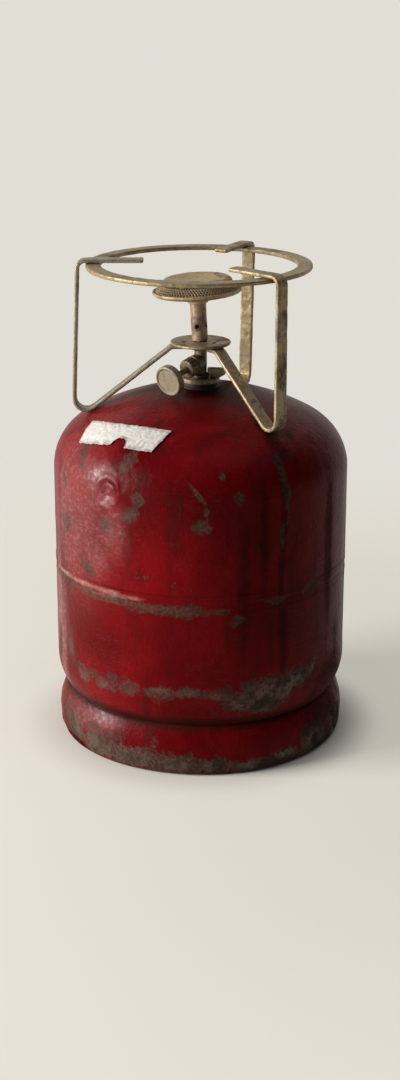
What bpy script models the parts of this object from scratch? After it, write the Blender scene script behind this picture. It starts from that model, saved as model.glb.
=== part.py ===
"""A weathered camping gas cylinder with a screw-on burner and a bent pan frame.

The steel bottle is two pressed shells welded round the middle, on a rolled foot ring.
A brass self-closing valve sits in its neck. A tap with a needle spindle screws into it
and carries the pan frame, the mixing tube and the burner. Units are metres, +Z is up,
-Y is the front, and the origin is on the bottle's axis at the floor.
"""
import math

import bmesh
import bpy
from mathutils import Matrix, Vector

MM = 0.001
OBJECT_NAME = "rusty_gas_cylinder"

# Clearances, and how far cutting tools stand out of what they cut
SEAT_GAP = 0.3 * MM
BORE_GAP = 0.3 * MM
TOOL_STAND = 1.0 * MM

# Bottle
BODY_RADIUS = 101.0 * MM
SHELL_WALL = 2.5 * MM
KNUCKLE_RADIUS = 38.0 * MM
TOP_CROWN_RADIUS = 167.0 * MM
BASE_CROWN_RADIUS = 230.0 * MM
BASE_TANGENT_HEIGHT = 57.0 * MM
STRAIGHT_LENGTH = 133.6 * MM
SEAM_HEIGHT = 123.5 * MM
SEAM_GROOVE_HALF = 5.5 * MM
SEAM_GROOVE_DEPTH = 1.5 * MM
SEAM_ROOT_HALF = 0.8 * MM
BEAD_INSET = 1.0 * MM
BEAD_PROUD = 0.5 * MM
BEAD_CREST_SHARE = 0.45
DENT_AZIMUTH = math.radians(-37.1)
DENT_HEIGHT = 196.8 * MM
DENT_RADIUS = 15.0 * MM
DENT_DEPTH = 2.2 * MM

# Foot ring, whose upper edge meets the base knuckle at an angle below its centre
FOOT_RADIUS = BODY_RADIUS - 0.6 * MM
FOOT_BELLY_HEIGHT = 15.0 * MM
FOOT_CONTACT = math.radians(39.0)
FOOT_TOP_LEAN = math.radians(28.0)
FOOT_ROLL_RADIUS = 5.0 * MM
FOOT_FLAT = 2.6 * MM
FOOT_TAPER = 0.45 * MM

# Neck and self-closing valve
BOSS_RADIUS = 11.0 * MM
BOSS_WELD_LEG = 2.4 * MM
BOSS_STAND = 3.1 * MM
BOSS_LENGTH = 12.0 * MM
INSERT_RADIUS = 7.7 * MM
INSERT_LENGTH = 21.5 * MM
INSERT_SUNK = 1.2 * MM
CHAMBER_RADIUS = 4.2 * MM
PORT_RADIUS = 2.6 * MM
PORT_LENGTH = 1.7 * MM
BALL_RADIUS = 3.5 * MM
BALL_LIFT = 1.0 * MM
RETAINER_THICKNESS = 1.7 * MM
RETAINER_PORT = 1.4 * MM
SPRING_RADIUS = 2.5 * MM
SPRING_WIRE = 0.35 * MM
SPRING_TURNS = 4.5

# Tap
TAIL_RADIUS = 5.0 * MM
TAIL_LENGTH = 6.4 * MM
PIN_RADIUS = 1.2 * MM
SEAL_WIDTH = 1.8 * MM
WING_RADIUS = 13.0 * MM
WING_THICKNESS = 3.4 * MM
WING_EDGE = 0.6 * MM
WING_REACH_RIGHT = 17.0 * MM
WING_REACH_LEFT = 12.5 * MM
WING_RISE_RIGHT = 6.4 * MM
WING_RISE_LEFT = 3.6 * MM
WING_EAR_THICKNESS = 4.6 * MM
WING_EAR_SUNK = 1.0 * MM
WING_EAR_INSET = 1.5 * MM
WING_EAR_GAP = 0.6 * MM
WING_TURN = math.radians(-9.0)
SHOULDER_RADIUS = 6.0 * MM
SHOULDER_THICKNESS = 1.4 * MM
POST_RADIUS = 4.3 * MM
POST_LENGTH = 17.0 * MM
SPIGOT_RADIUS = 3.8 * MM
SPIGOT_LENGTH = 4.6 * MM
GAS_BORE = 1.2 * MM
GLAND_AZIMUTH = math.radians(-40.0)
GLAND_DIP = math.radians(13.5)
GLAND_HEIGHT = 9.1 * MM
GLAND_BOSS_RADIUS = 6.7 * MM
GLAND_BOSS_LENGTH = 8.0 * MM
GLAND_ROOT_SHARE = 0.85
GLAND_NOSE_RADIUS = 5.0 * MM
GLAND_NOSE_LENGTH = 5.0 * MM
GLAND_POCKET = 3.0 * MM
PACKING_WIDTH = 1.0 * MM
GLAND_NUT_WALL = 1.3 * MM
GLAND_NUT_END = 2.0 * MM
GLAND_NUT_EDGE = 0.8 * MM
GLAND_NUT_GROOVE = 0.4 * MM
GLAND_NUT_TEETH = 18
SPINDLE_RADIUS = 2.1 * MM
SPINDLE_TIP_START = 1.5 * MM
SPINDLE_TIP_LENGTH = 2.4 * MM
KNOB_RADIUS = 10.5 * MM
KNOB_THICKNESS = 5.6 * MM
KNOB_REACH = 35.4 * MM
KNOB_RIM_WIDTH = 1.5 * MM
KNOB_EDGE = 0.7 * MM
KNOB_DISH = 0.7 * MM
KNOB_FACE = 1.2 * MM
KNOB_HUB_RADIUS = 4.0 * MM
KNOB_HUB_LENGTH = 4.0 * MM

# Jet and mixing tube
JET_RADIUS = 2.4 * MM
JET_FLATS = 3.3 * MM
JET_HEIGHT = 4.5 * MM
JET_DRILL = 0.5 * MM
JET_NOSE_SHARE = 0.6
JET_CONE_START = 0.7
JET_FLATS_SHARE = 0.45
TUBE_RADIUS = 5.5 * MM
TUBE_WALL = 0.8 * MM
TUBE_LENGTH = 31.0 * MM
TUBE_OFFSET = -0.4 * MM
TUBE_SEAT_GAP = 0.5 * MM
AIR_HOLE_RADIUS = 1.4 * MM
AIR_HOLE_HEIGHT = 10.0 * MM
AIR_HOLE_TURN = math.radians(-15.0)
AIR_HOLES = 4
BURNER_LEAN = math.radians(-3.2)

# Burner
BOWL_RADIUS = 30.3 * MM
BOWL_LIP = 3.0 * MM
BOWL_DEPTH = 4.6 * MM
BOWL_SHEET = 1.2 * MM
BOWL_CORNER = 1.4 * MM
BOWL_THROAT = 4.0 * MM
BOWL_THROAT_RISE = 0.6 * MM
BOWL_SOCKET_LENGTH = 1.8 * MM
BOWL_RIM_HEIGHT = 35.0 * MM
MESH_TOP_RADIUS = 23.4 * MM
MESH_SUNK = 0.8 * MM
MESH_HEIGHT = 4.7 * MM
MESH_SHEET = 0.7 * MM
MESH_CELLS = 32
MESH_ROWS = 2
MESH_STRAND = 0.9 * MM
CAP_RADIUS = 24.0 * MM
CAP_TOP_RADIUS = 20.6 * MM
CAP_HEIGHT = 3.1 * MM
CAP_SHEET = 1.2 * MM
CAP_DISH = 0.7 * MM
CAP_DISH_SHARE = 0.55
CAP_SHOULDER = 1.3 * MM
CAP_EDGE = 0.4 * MM
CAP_SKIRT = 1.0 * MM

# Collar plate and its nut
COLLAR_RADIUS = 20.5 * MM
COLLAR_THICKNESS = 2.0 * MM
COLLAR_EDGE = 0.5 * MM
COLLAR_HOLE_RADIUS = 1.2 * MM
COLLAR_HOLE_CIRCLE = 11.5 * MM
COLLAR_HOLE_ANGLES = tuple(math.radians(a) for a in (-72.0, 52.0, 86.0, 178.0))
COLLAR_NUT_FLATS = 6.6 * MM
COLLAR_NUT_HEIGHT = 3.4 * MM

# Pan ring
RING_RADIUS = 75.8 * MM
RING_WIDTH = 10.0 * MM
RING_THICKNESS = 2.9 * MM
RING_EDGE = 0.4 * MM
RING_HEIGHT = 329.0 * MM
RING_OFFSET = -1.0 * MM

# Frame arms: flat strip bent into tab, brace, foot, leg and finger
STRIP_WIDTH = 9.5 * MM
STRIP_THICKNESS = 2.8 * MM
STRIP_EDGE = 0.5 * MM
FOOT_BEND = 8.0 * MM
TOP_BEND = 5.5 * MM
TAB_BEND = 4.0 * MM
TAB_START = 11.0 * MM
TAB_END = 19.5 * MM
FINGER_TIP = 38.0 * MM
LEG_STATIONS = 4
LEFT_LEG_TOP = 82.0 * MM
LEFT_LEG_FOOT = 86.0 * MM
FRONT_LEG_TOP = 81.2 * MM
FRONT_LEG_FOOT = 83.0 * MM
FRONT_FOOT_SHIFT = -1.5 * MM
BACK_LEG_TOP = 82.0 * MM
BACK_LEG_FOOT = 84.5 * MM
BACK_FOOT_SHIFT = 3.0 * MM
ARMS = {
    "arm_left": (math.radians(-90.0), LEFT_LEG_TOP, LEFT_LEG_FOOT, 0.0, 0.0),
    "arm_front": (math.radians(39.3), FRONT_LEG_TOP, FRONT_LEG_FOOT, FRONT_FOOT_SHIFT,
                  math.radians(5.7)),
    "arm_back": (math.radians(155.5), BACK_LEG_TOP, BACK_LEG_FOOT, BACK_FOOT_SHIFT,
                 math.radians(-3.0)),
}

# Tape strip on the dome
TAPE_START_AZIMUTH = math.radians(-69.0)
TAPE_END_AZIMUTH = math.radians(-17.5)
TAPE_INNER_START = BODY_RADIUS - 25.0 * MM
TAPE_INNER_END = BODY_RADIUS - 33.0 * MM
TAPE_INNER_DIP = 3.6 * MM
TAPE_OUTER = BODY_RADIUS - 14.5 * MM
TAPE_NOTCH_AZIMUTH = math.radians(-38.5)
TAPE_NOTCH_HALF = math.radians(5.6)
TAPE_NOTCH_DEPTH = 5.5 * MM
TAPE_SLANT = math.radians(7.0)
TAPE_THICKNESS = 0.35 * MM
TAPE_COLUMNS = 18
TAPE_ROWS = 4

# Smoothness of round shapes
BODY_STEPS = 48
RING_STEPS = 56
PLATE_STEPS = 32
BURNER_STEPS = 30
SMALL_STEPS = 24
TINY_STEPS = 16
HOLE_STEPS = 12
ARC_STEPS = 5
CROWN_STEPS = 4
ROLL_STEPS = 3
BELLY_STEPS = 4
COIL_STEPS = 10

# Heights that follow from the sizes above
TOP_TANGENT_HEIGHT = BASE_TANGENT_HEIGHT + STRAIGHT_LENGTH
KNUCKLE_CENTRE = BODY_RADIUS - KNUCKLE_RADIUS
FOOT_SEAT = KNUCKLE_RADIUS + SEAT_GAP
FOOT_TOP_RADIUS = (KNUCKLE_CENTRE + FOOT_SEAT * math.cos(FOOT_CONTACT)
                   + SHELL_WALL * math.cos(FOOT_TOP_LEAN))
FOOT_TOP_HEIGHT = (BASE_TANGENT_HEIGHT - FOOT_SEAT * math.sin(FOOT_CONTACT)
                   + SHELL_WALL * math.sin(FOOT_TOP_LEAN))


def crown_drop(crown_radius):
    """Height from a shell's tangent line to the centre of its crown sphere."""
    return math.sqrt((crown_radius - KNUCKLE_RADIUS) ** 2 - KNUCKLE_CENTRE ** 2)


TOP_CROWN_CENTRE = TOP_TANGENT_HEIGHT - crown_drop(TOP_CROWN_RADIUS)


def dome_height(radius):
    """Height of the top dome's outer face at a distance from the axis."""
    joint = TOP_CROWN_RADIUS * KNUCKLE_CENTRE / (TOP_CROWN_RADIUS - KNUCKLE_RADIUS)
    if radius < joint:
        return TOP_CROWN_CENTRE + math.sqrt(TOP_CROWN_RADIUS ** 2 - radius ** 2)
    run = min(radius - KNUCKLE_CENTRE, KNUCKLE_RADIUS)
    return TOP_TANGENT_HEIGHT + math.sqrt(KNUCKLE_RADIUS ** 2 - run ** 2)


BOSS_TOP = dome_height(BOSS_RADIUS) + BOSS_STAND
INSERT_TOP = BOSS_TOP - INSERT_SUNK
INSERT_BOTTOM = INSERT_TOP - INSERT_LENGTH
WING_BOTTOM = BOSS_TOP + SEAT_GAP
WING_TOP = WING_BOTTOM + WING_THICKNESS
TAIL_END = WING_BOTTOM - TAIL_LENGTH
SOCKET_FLOOR = TAIL_END - SEAT_GAP
SEAT_EDGE = SOCKET_FLOOR - PORT_LENGTH
BALL_CENTRE = SEAT_EDGE + PORT_RADIUS - BALL_RADIUS * math.sqrt(2.0) - BALL_LIFT
SHOULDER_BOTTOM = WING_TOP + SEAT_GAP
POST_BOTTOM = SHOULDER_BOTTOM + SHOULDER_THICKNESS
POST_TOP = POST_BOTTOM + POST_LENGTH
NUT_TOP = POST_TOP + SEAT_GAP + COLLAR_NUT_HEIGHT
COLLAR_BOTTOM = NUT_TOP + SEAT_GAP
COLLAR_TOP = COLLAR_BOTTOM + COLLAR_THICKNESS
SPIGOT_TOP = COLLAR_TOP + SPIGOT_LENGTH
GLAND_ORIGIN = Vector((0.0, 0.0, POST_BOTTOM + GLAND_HEIGHT))
FINGER_HEIGHT = RING_HEIGHT + SEAT_GAP + STRIP_THICKNESS / 2.0
TAB_HEIGHT = COLLAR_BOTTOM - SEAT_GAP - STRIP_THICKNESS / 2.0


def direction(azimuth):
    """Level direction at an azimuth from the front, turning to the right."""
    return Vector((math.sin(azimuth), -math.cos(azimuth), 0.0))


# Scene, collections and materials

def clear_scene():
    """Remove whatever the scene holds."""
    for item in list(bpy.data.objects):
        bpy.data.objects.remove(item, do_unlink=True)


def new_collection(name):
    """Make a collection in the scene."""
    group = bpy.data.collections.new(name)
    bpy.context.scene.collection.children.link(group)
    return group


def new_material(name, colour, roughness, metallic):
    """Make a Principled material."""
    material = bpy.data.materials.new(name)
    material.use_nodes = True
    shader = material.node_tree.nodes["Principled BSDF"]
    shader.inputs["Base Color"].default_value = (*colour, 1.0)
    shader.inputs["Roughness"].default_value = roughness
    shader.inputs["Metallic"].default_value = metallic
    return material


FINISHES = {
    "red_paint": ((0.27, 0.012, 0.016), 0.5, 0.0),
    "rusty_steel": ((0.16, 0.11, 0.075), 0.75, 0.4),
    "tarnished_strip": ((0.36, 0.30, 0.20), 0.55, 0.8),
    "dull_brass": ((0.33, 0.25, 0.15), 0.5, 0.9),
    "pale_metal": ((0.55, 0.50, 0.42), 0.5, 0.7),
    "spring_steel": ((0.45, 0.45, 0.45), 0.35, 1.0),
    "black_rubber": ((0.02, 0.02, 0.02), 0.8, 0.0),
    "white_tape": ((0.78, 0.76, 0.70), 0.85, 0.0),
}


class Kit:
    """Holds the two collections and puts finished pieces in them."""

    def __init__(self):
        self.parts = new_collection(OBJECT_NAME)
        self.cutters = new_collection("cutters")

    def piece(self, item, finish):
        """Keep an object as a piece, with its own material."""
        colour, roughness, metallic = FINISHES[finish]
        item.data.materials.clear()
        item.data.materials.append(new_material(item.name, colour, roughness, metallic))
        self.parts.objects.link(item)
        return item

    def cutter(self, item):
        """Keep an object as a hidden tool of a Boolean."""
        item.hide_render = True
        item.display_type = "WIRE"
        self.cutters.objects.link(item)
        return item

    def empty(self, name, matrix):
        """Make an empty that carries pieces."""
        item = bpy.data.objects.new(name, None)
        item.matrix_world = matrix
        self.parts.objects.link(item)
        return item


# Shape helpers

def arc(centre, radius, start, end, steps=ARC_STEPS):
    """Points of an arc in the (radius, height) plane, angles in degrees from +radius."""
    points = []
    for i in range(steps + 1):
        angle = math.radians(start + (end - start) * i / steps)
        points.append((centre[0] + radius * math.cos(angle), centre[1] + radius * math.sin(angle)))
    return points


def turned(name, profile, steps=SMALL_STEPS, closed=True):
    """Turn a profile of (radius, height) points about Z with a Screw modifier."""
    mesh = bpy.data.meshes.new(name)
    count = len(profile)
    edges = [(i, i + 1) for i in range(count - 1)]
    if closed:
        edges.append((count - 1, 0))
    mesh.from_pydata([(r, 0.0, z) for r, z in profile], edges, [])
    item = bpy.data.objects.new(name, mesh)
    screw = item.modifiers.new("turn", "SCREW")
    screw.axis = "Z"
    screw.angle = math.tau
    screw.steps = steps
    screw.render_steps = steps
    screw.use_merge_vertices = True
    screw.merge_threshold = 0.00001
    screw.use_smooth_shade = True
    return item


def solidify(item, thickness, offset=-1.0):
    """Give an open surface its wall."""
    wall = item.modifiers.new("wall", "SOLIDIFY")
    wall.thickness = thickness
    wall.offset = offset
    wall.use_even_offset = True
    return item


def baked(item):
    """Replace an object by its evaluated mesh, so that its faces can be edited."""
    bpy.context.scene.collection.objects.link(item)
    bpy.context.view_layer.update()
    depsgraph = bpy.context.evaluated_depsgraph_get()
    mesh = bpy.data.meshes.new_from_object(item.evaluated_get(depsgraph))
    mesh.name = item.name
    name = item.name
    matrix = item.matrix_world.copy()
    bpy.data.objects.remove(item, do_unlink=True)
    result = bpy.data.objects.new(name, mesh)
    result.matrix_world = matrix
    bm = bmesh.new()
    bm.from_mesh(mesh)
    bmesh.ops.remove_doubles(bm, verts=bm.verts, dist=0.000001)
    bm.to_mesh(mesh)
    bm.free()
    return result


def cylinder(name, radius, length, matrix=None, sides=TINY_STEPS, top_radius=None):
    """A cylinder or cone from z = 0 to its length, then moved by a matrix."""
    bm = bmesh.new()
    lift = Matrix.Translation((0.0, 0.0, length / 2.0))
    bmesh.ops.create_cone(bm, cap_ends=True, segments=sides, radius1=radius,
                          radius2=radius if top_radius is None else top_radius,
                          depth=length, matrix=lift)
    mesh = bpy.data.meshes.new(name)
    bm.to_mesh(mesh)
    bm.free()
    if matrix is not None:
        mesh.transform(matrix)
    return bpy.data.objects.new(name, mesh)


def boolean(item, kit, tool, operation="DIFFERENCE"):
    """Cut an object with a tool, or join the tool to it."""
    kit.cutter(tool)
    modifier = item.modifiers.new(tool.name, "BOOLEAN")
    modifier.operation = operation
    modifier.object = tool
    modifier.solver = "EXACT"
    return item


def rounded_path(corners, radii, steps=ARC_STEPS):
    """A polyline with its inner corners rounded, in the (radius, height) plane."""
    points = [Vector(corners[0])]
    for before, corner, after, radius in zip(corners, corners[1:], corners[2:], radii):
        corner = Vector(corner)
        back = (Vector(before) - corner).normalized()
        ahead = (Vector(after) - corner).normalized()
        half = back.angle(ahead) / 2.0
        trim = radius / math.tan(half)
        centre = corner + (back + ahead).normalized() * (radius / math.sin(half))
        start = corner + back * trim - centre
        end = corner + ahead * trim - centre
        sweep = start.angle_signed(end)
        for i in range(steps + 1):
            turn = Matrix.Rotation(-sweep * i / steps, 2)
            points.append(centre + turn @ start)
    points.append(Vector(corners[-1]))
    return points


# Bottle

def knuckle_and_crown(tangent_height, crown_radius, inner_radius, sign):
    """A shell's outer profile from its tangent line to its middle, top or bottom."""
    drop = crown_drop(crown_radius)
    joint = math.atan2(drop, KNUCKLE_CENTRE)
    points = []
    for r, z in arc((KNUCKLE_CENTRE, 0.0), KNUCKLE_RADIUS, 0.0, math.degrees(joint)):
        points.append((r, tangent_height + sign * z))
    stop = math.acos(inner_radius / crown_radius)
    for r, z in arc((0.0, -drop), crown_radius, math.degrees(joint), math.degrees(stop),
                    CROWN_STEPS)[1:]:
        points.append((r if r > 0.00001 else 0.0, tangent_height + sign * z))
    return points


def press_dent(item, centre, radius, depth):
    """Push a smooth dent into a surface, on faces that are first divided round it."""
    bm = bmesh.new()
    bm.from_mesh(item.data)
    for reach in (1.5, 1.25):
        near = [e for e in bm.edges if (sum((v.co for v in e.verts), Vector()) / 2.0
                                        - centre).length < radius * reach]
        bmesh.ops.subdivide_edges(bm, edges=near, cuts=1, use_grid_fill=True)
    inward = -Vector((centre.x, centre.y, 0.0)).normalized()
    for vert in bm.verts:
        share = (vert.co - centre).length / radius
        if share < 1.0:
            vert.co += inward * depth * math.cos(share * math.pi / 2.0) ** 2
    bm.to_mesh(item.data)
    bm.free()


def make_upper_shell(kit):
    """The upper half of the bottle, with its neck hole, weld groove and dent."""
    dome = knuckle_and_crown(TOP_TANGENT_HEIGHT, TOP_CROWN_RADIUS, BOSS_RADIUS + BORE_GAP, 1.0)
    profile = dome[::-1]
    profile.append((BODY_RADIUS, DENT_HEIGHT - 3.0 * DENT_RADIUS))
    profile.append((BODY_RADIUS, SEAM_HEIGHT + SEAM_GROOVE_HALF))
    profile.append((BODY_RADIUS - SEAM_GROOVE_DEPTH, SEAM_HEIGHT + SEAM_ROOT_HALF))
    shell = baked(turned("upper_shell", profile, BODY_STEPS, closed=False))
    centre = direction(DENT_AZIMUTH) * BODY_RADIUS
    centre.z = DENT_HEIGHT
    press_dent(shell, centre, DENT_RADIUS, DENT_DEPTH)
    kit.piece(solidify(shell, SHELL_WALL), "red_paint")


def make_lower_shell(kit):
    """The lower half of the bottle, closed at the base."""
    profile = [(BODY_RADIUS - SEAM_GROOVE_DEPTH, SEAM_HEIGHT - SEAM_ROOT_HALF),
               (BODY_RADIUS, SEAM_HEIGHT - SEAM_GROOVE_HALF)]
    profile += knuckle_and_crown(BASE_TANGENT_HEIGHT, BASE_CROWN_RADIUS, 0.0, -1.0)
    kit.piece(solidify(turned("lower_shell", profile, BODY_STEPS, closed=False), SHELL_WALL),
              "red_paint")


def make_girth_weld(kit):
    """The weld bead that fills the groove between the shells."""
    slope = SEAM_GROOVE_DEPTH / (SEAM_GROOVE_HALF - SEAM_ROOT_HALF)
    half = SEAM_GROOVE_HALF - BEAD_INSET
    edge = BODY_RADIUS - slope * (SEAM_GROOVE_HALF - half) + SEAT_GAP
    root = BODY_RADIUS - SEAM_GROOVE_DEPTH + SEAT_GAP
    crest = BODY_RADIUS + BEAD_PROUD
    profile = [(root, SEAM_HEIGHT + SEAM_ROOT_HALF), (edge, SEAM_HEIGHT + half),
               (crest, SEAM_HEIGHT + half * BEAD_CREST_SHARE),
               (crest, SEAM_HEIGHT - half * BEAD_CREST_SHARE),
               (edge, SEAM_HEIGHT - half), (root, SEAM_HEIGHT - SEAM_ROOT_HALF)]
    kit.piece(turned("girth_weld", profile, BODY_STEPS), "rusty_steel")


def make_foot_ring(kit):
    """The bellied foot ring, rolled in to a flat lip that the bottle stands on."""
    profile = []
    rise = FOOT_TOP_HEIGHT - FOOT_BELLY_HEIGHT
    for i in range(BELLY_STEPS + 1):
        share = 1.0 - i / BELLY_STEPS
        r = FOOT_RADIUS - (FOOT_RADIUS - FOOT_TOP_RADIUS) * share ** 2
        profile.append((r, FOOT_BELLY_HEIGHT + rise * share))
    roll = FOOT_RADIUS - FOOT_TAPER - FOOT_ROLL_RADIUS
    profile += arc((roll, FOOT_ROLL_RADIUS), FOOT_ROLL_RADIUS, 0.0, -90.0, ROLL_STEPS)
    profile.append((roll - FOOT_FLAT, 0.0))
    kit.piece(solidify(turned("foot_ring", profile, BODY_STEPS, closed=False), SHELL_WALL),
              "red_paint")


# Neck and self-closing valve

def make_neck_boss(kit):
    """The threaded steel boss in the neck, with its weld fillet on the dome."""
    bore = INSERT_RADIUS + BORE_GAP
    fillet_top = BOSS_TOP - BOSS_STAND + BOSS_WELD_LEG
    fillet_edge = BOSS_RADIUS + BOSS_WELD_LEG
    profile = [(bore, BOSS_TOP), (BOSS_RADIUS, BOSS_TOP), (BOSS_RADIUS, fillet_top),
               (fillet_edge, dome_height(fillet_edge) + SEAT_GAP),
               (BOSS_RADIUS, dome_height(BOSS_RADIUS) + SEAT_GAP),
               (BOSS_RADIUS, BOSS_TOP - BOSS_LENGTH), (bore, BOSS_TOP - BOSS_LENGTH)]
    kit.piece(turned("neck_boss", profile), "rusty_steel")


def make_valve_insert(kit):
    """The brass valve seat, chamber and socket screwed into the boss."""
    socket = TAIL_RADIUS + BORE_GAP
    cone = CHAMBER_RADIUS - PORT_RADIUS
    profile = [(socket, INSERT_TOP), (INSERT_RADIUS, INSERT_TOP), (INSERT_RADIUS, INSERT_BOTTOM),
               (CHAMBER_RADIUS, INSERT_BOTTOM), (CHAMBER_RADIUS, SEAT_EDGE - cone),
               (PORT_RADIUS, SEAT_EDGE), (PORT_RADIUS, SOCKET_FLOOR), (socket, SOCKET_FLOOR)]
    kit.piece(turned("valve_insert", profile), "dull_brass")


def make_valve_ball(kit):
    """The steel ball, which the tap's pin holds off its seat."""
    bm = bmesh.new()
    bmesh.ops.create_uvsphere(bm, u_segments=TINY_STEPS, v_segments=10, radius=BALL_RADIUS)
    mesh = bpy.data.meshes.new("valve_ball")
    bm.to_mesh(mesh)
    bm.free()
    item = bpy.data.objects.new("valve_ball", mesh)
    item.location = (0.0, 0.0, BALL_CENTRE)
    kit.piece(item, "spring_steel")


def make_spring_retainer(kit):
    """The ported disc that holds the spring in its chamber."""
    bottom = INSERT_BOTTOM + SEAT_GAP
    top = bottom + RETAINER_THICKNESS
    outer = CHAMBER_RADIUS - BORE_GAP
    profile = [(RETAINER_PORT, top), (outer, top), (outer, bottom), (RETAINER_PORT, bottom)]
    kit.piece(turned("spring_retainer", profile, TINY_STEPS), "dull_brass")
    return top


def make_valve_spring(kit, seat):
    """The coil spring from the retainer up to the ball."""
    under_ball = BALL_CENTRE - math.sqrt(BALL_RADIUS ** 2 - SPRING_RADIUS ** 2)
    start = seat + SEAT_GAP + SPRING_WIRE
    end = under_ball - SEAT_GAP - 2.0 * SPRING_WIRE
    count = int(SPRING_TURNS * COIL_STEPS) + 1
    curve = bpy.data.curves.new("valve_spring", "CURVE")
    curve.dimensions = "3D"
    curve.bevel_depth = SPRING_WIRE
    curve.bevel_resolution = 2
    curve.render_resolution_u = 0
    curve.use_fill_caps = True
    spline = curve.splines.new("POLY")
    spline.points.add(count - 1)
    for i, point in enumerate(spline.points):
        share = i / (count - 1)
        turn = math.tau * SPRING_TURNS * share
        point.co = (SPRING_RADIUS * math.cos(turn), SPRING_RADIUS * math.sin(turn),
                    start + (end - start) * share, 1.0)
    kit.piece(baked(bpy.data.objects.new("valve_spring", curve)), "spring_steel")


def make_neck_seal(kit):
    """The rubber ring between the wing nut and the valve insert."""
    inner = TAIL_RADIUS + BORE_GAP
    outer = inner + SEAL_WIDTH
    top = WING_BOTTOM - SEAT_GAP
    low = INSERT_TOP + SEAT_GAP
    profile = [(inner, top), (outer, top), (outer, low), (inner, low)]
    kit.piece(turned("neck_seal", profile), "black_rubber")


# Tap

def gland_matrix():
    """Frame of the gland: its local Z runs out of the tap towards the knob."""
    level = direction(GLAND_AZIMUTH)
    out = Vector((level.x * math.cos(GLAND_DIP), level.y * math.cos(GLAND_DIP),
                  -math.sin(GLAND_DIP)))
    side = Vector((0.0, 0.0, 1.0)).cross(out).normalized()
    rise = out.cross(side)
    turn = Matrix((side, rise, out)).transposed().to_4x4()
    return Matrix.Translation(GLAND_ORIGIN) @ turn


def make_wing_nut(kit):
    """The round nut with two finger ears that locks the tap to the neck."""
    bore = TAIL_RADIUS + BORE_GAP
    rim = WING_RADIUS - WING_EDGE
    profile = [(bore, WING_TOP), (rim, WING_TOP), (WING_RADIUS, WING_TOP - WING_EDGE),
               (WING_RADIUS, WING_BOTTOM + WING_EDGE), (rim, WING_BOTTOM), (bore, WING_BOTTOM)]
    nut = turned("wing_nut", profile)
    wide = SHOULDER_RADIUS + WING_EAR_GAP
    narrow = POST_RADIUS + WING_EAR_GAP
    step = POST_BOTTOM - WING_TOP
    foot = WING_RADIUS - WING_EAR_INSET
    ears = (("ear_right", WING_REACH_RIGHT, WING_RISE_RIGHT, WING_TURN),
            ("ear_left", WING_REACH_LEFT, WING_RISE_LEFT, math.pi + WING_TURN))
    for name, reach, rise, turn in ears:
        outline = [(wide, -WING_EAR_SUNK), (foot, -WING_EAR_SUNK), (reach, rise * 0.35),
                   (reach, rise * 0.8), (reach - rise * 0.2, rise)]
        if rise > step + SHOULDER_THICKNESS + WING_EAR_GAP:
            outline += [(narrow, rise), (narrow, step + SHOULDER_THICKNESS + WING_EAR_GAP),
                        (wide, step)]
        else:
            outline.append((wide, rise))
        place = Matrix.Translation((0.0, 0.0, WING_TOP)) @ Matrix.Rotation(turn, 4, "Z")
        boolean(nut, kit, plate(name, outline, WING_EAR_THICKNESS, place), "UNION")
    kit.piece(nut, "pale_metal")


def plate(name, outline, thickness, place):
    """A flat outline of (x, z) points made a plate of even thickness across y."""
    curve = bpy.data.curves.new(name, "CURVE")
    curve.dimensions = "2D"
    curve.fill_mode = "BOTH"
    curve.extrude = thickness / 2.0
    curve.render_resolution_u = 0
    spline = curve.splines.new("POLY")
    spline.points.add(len(outline) - 1)
    for point, (x, z) in zip(spline.points, outline):
        point.co = (x, z, 0.0, 1.0)
    spline.use_cyclic_u = True
    item = baked(bpy.data.objects.new(name, curve))
    item.data.transform(place @ Matrix.Rotation(math.pi / 2.0, 4, "X"))
    return item


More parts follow.
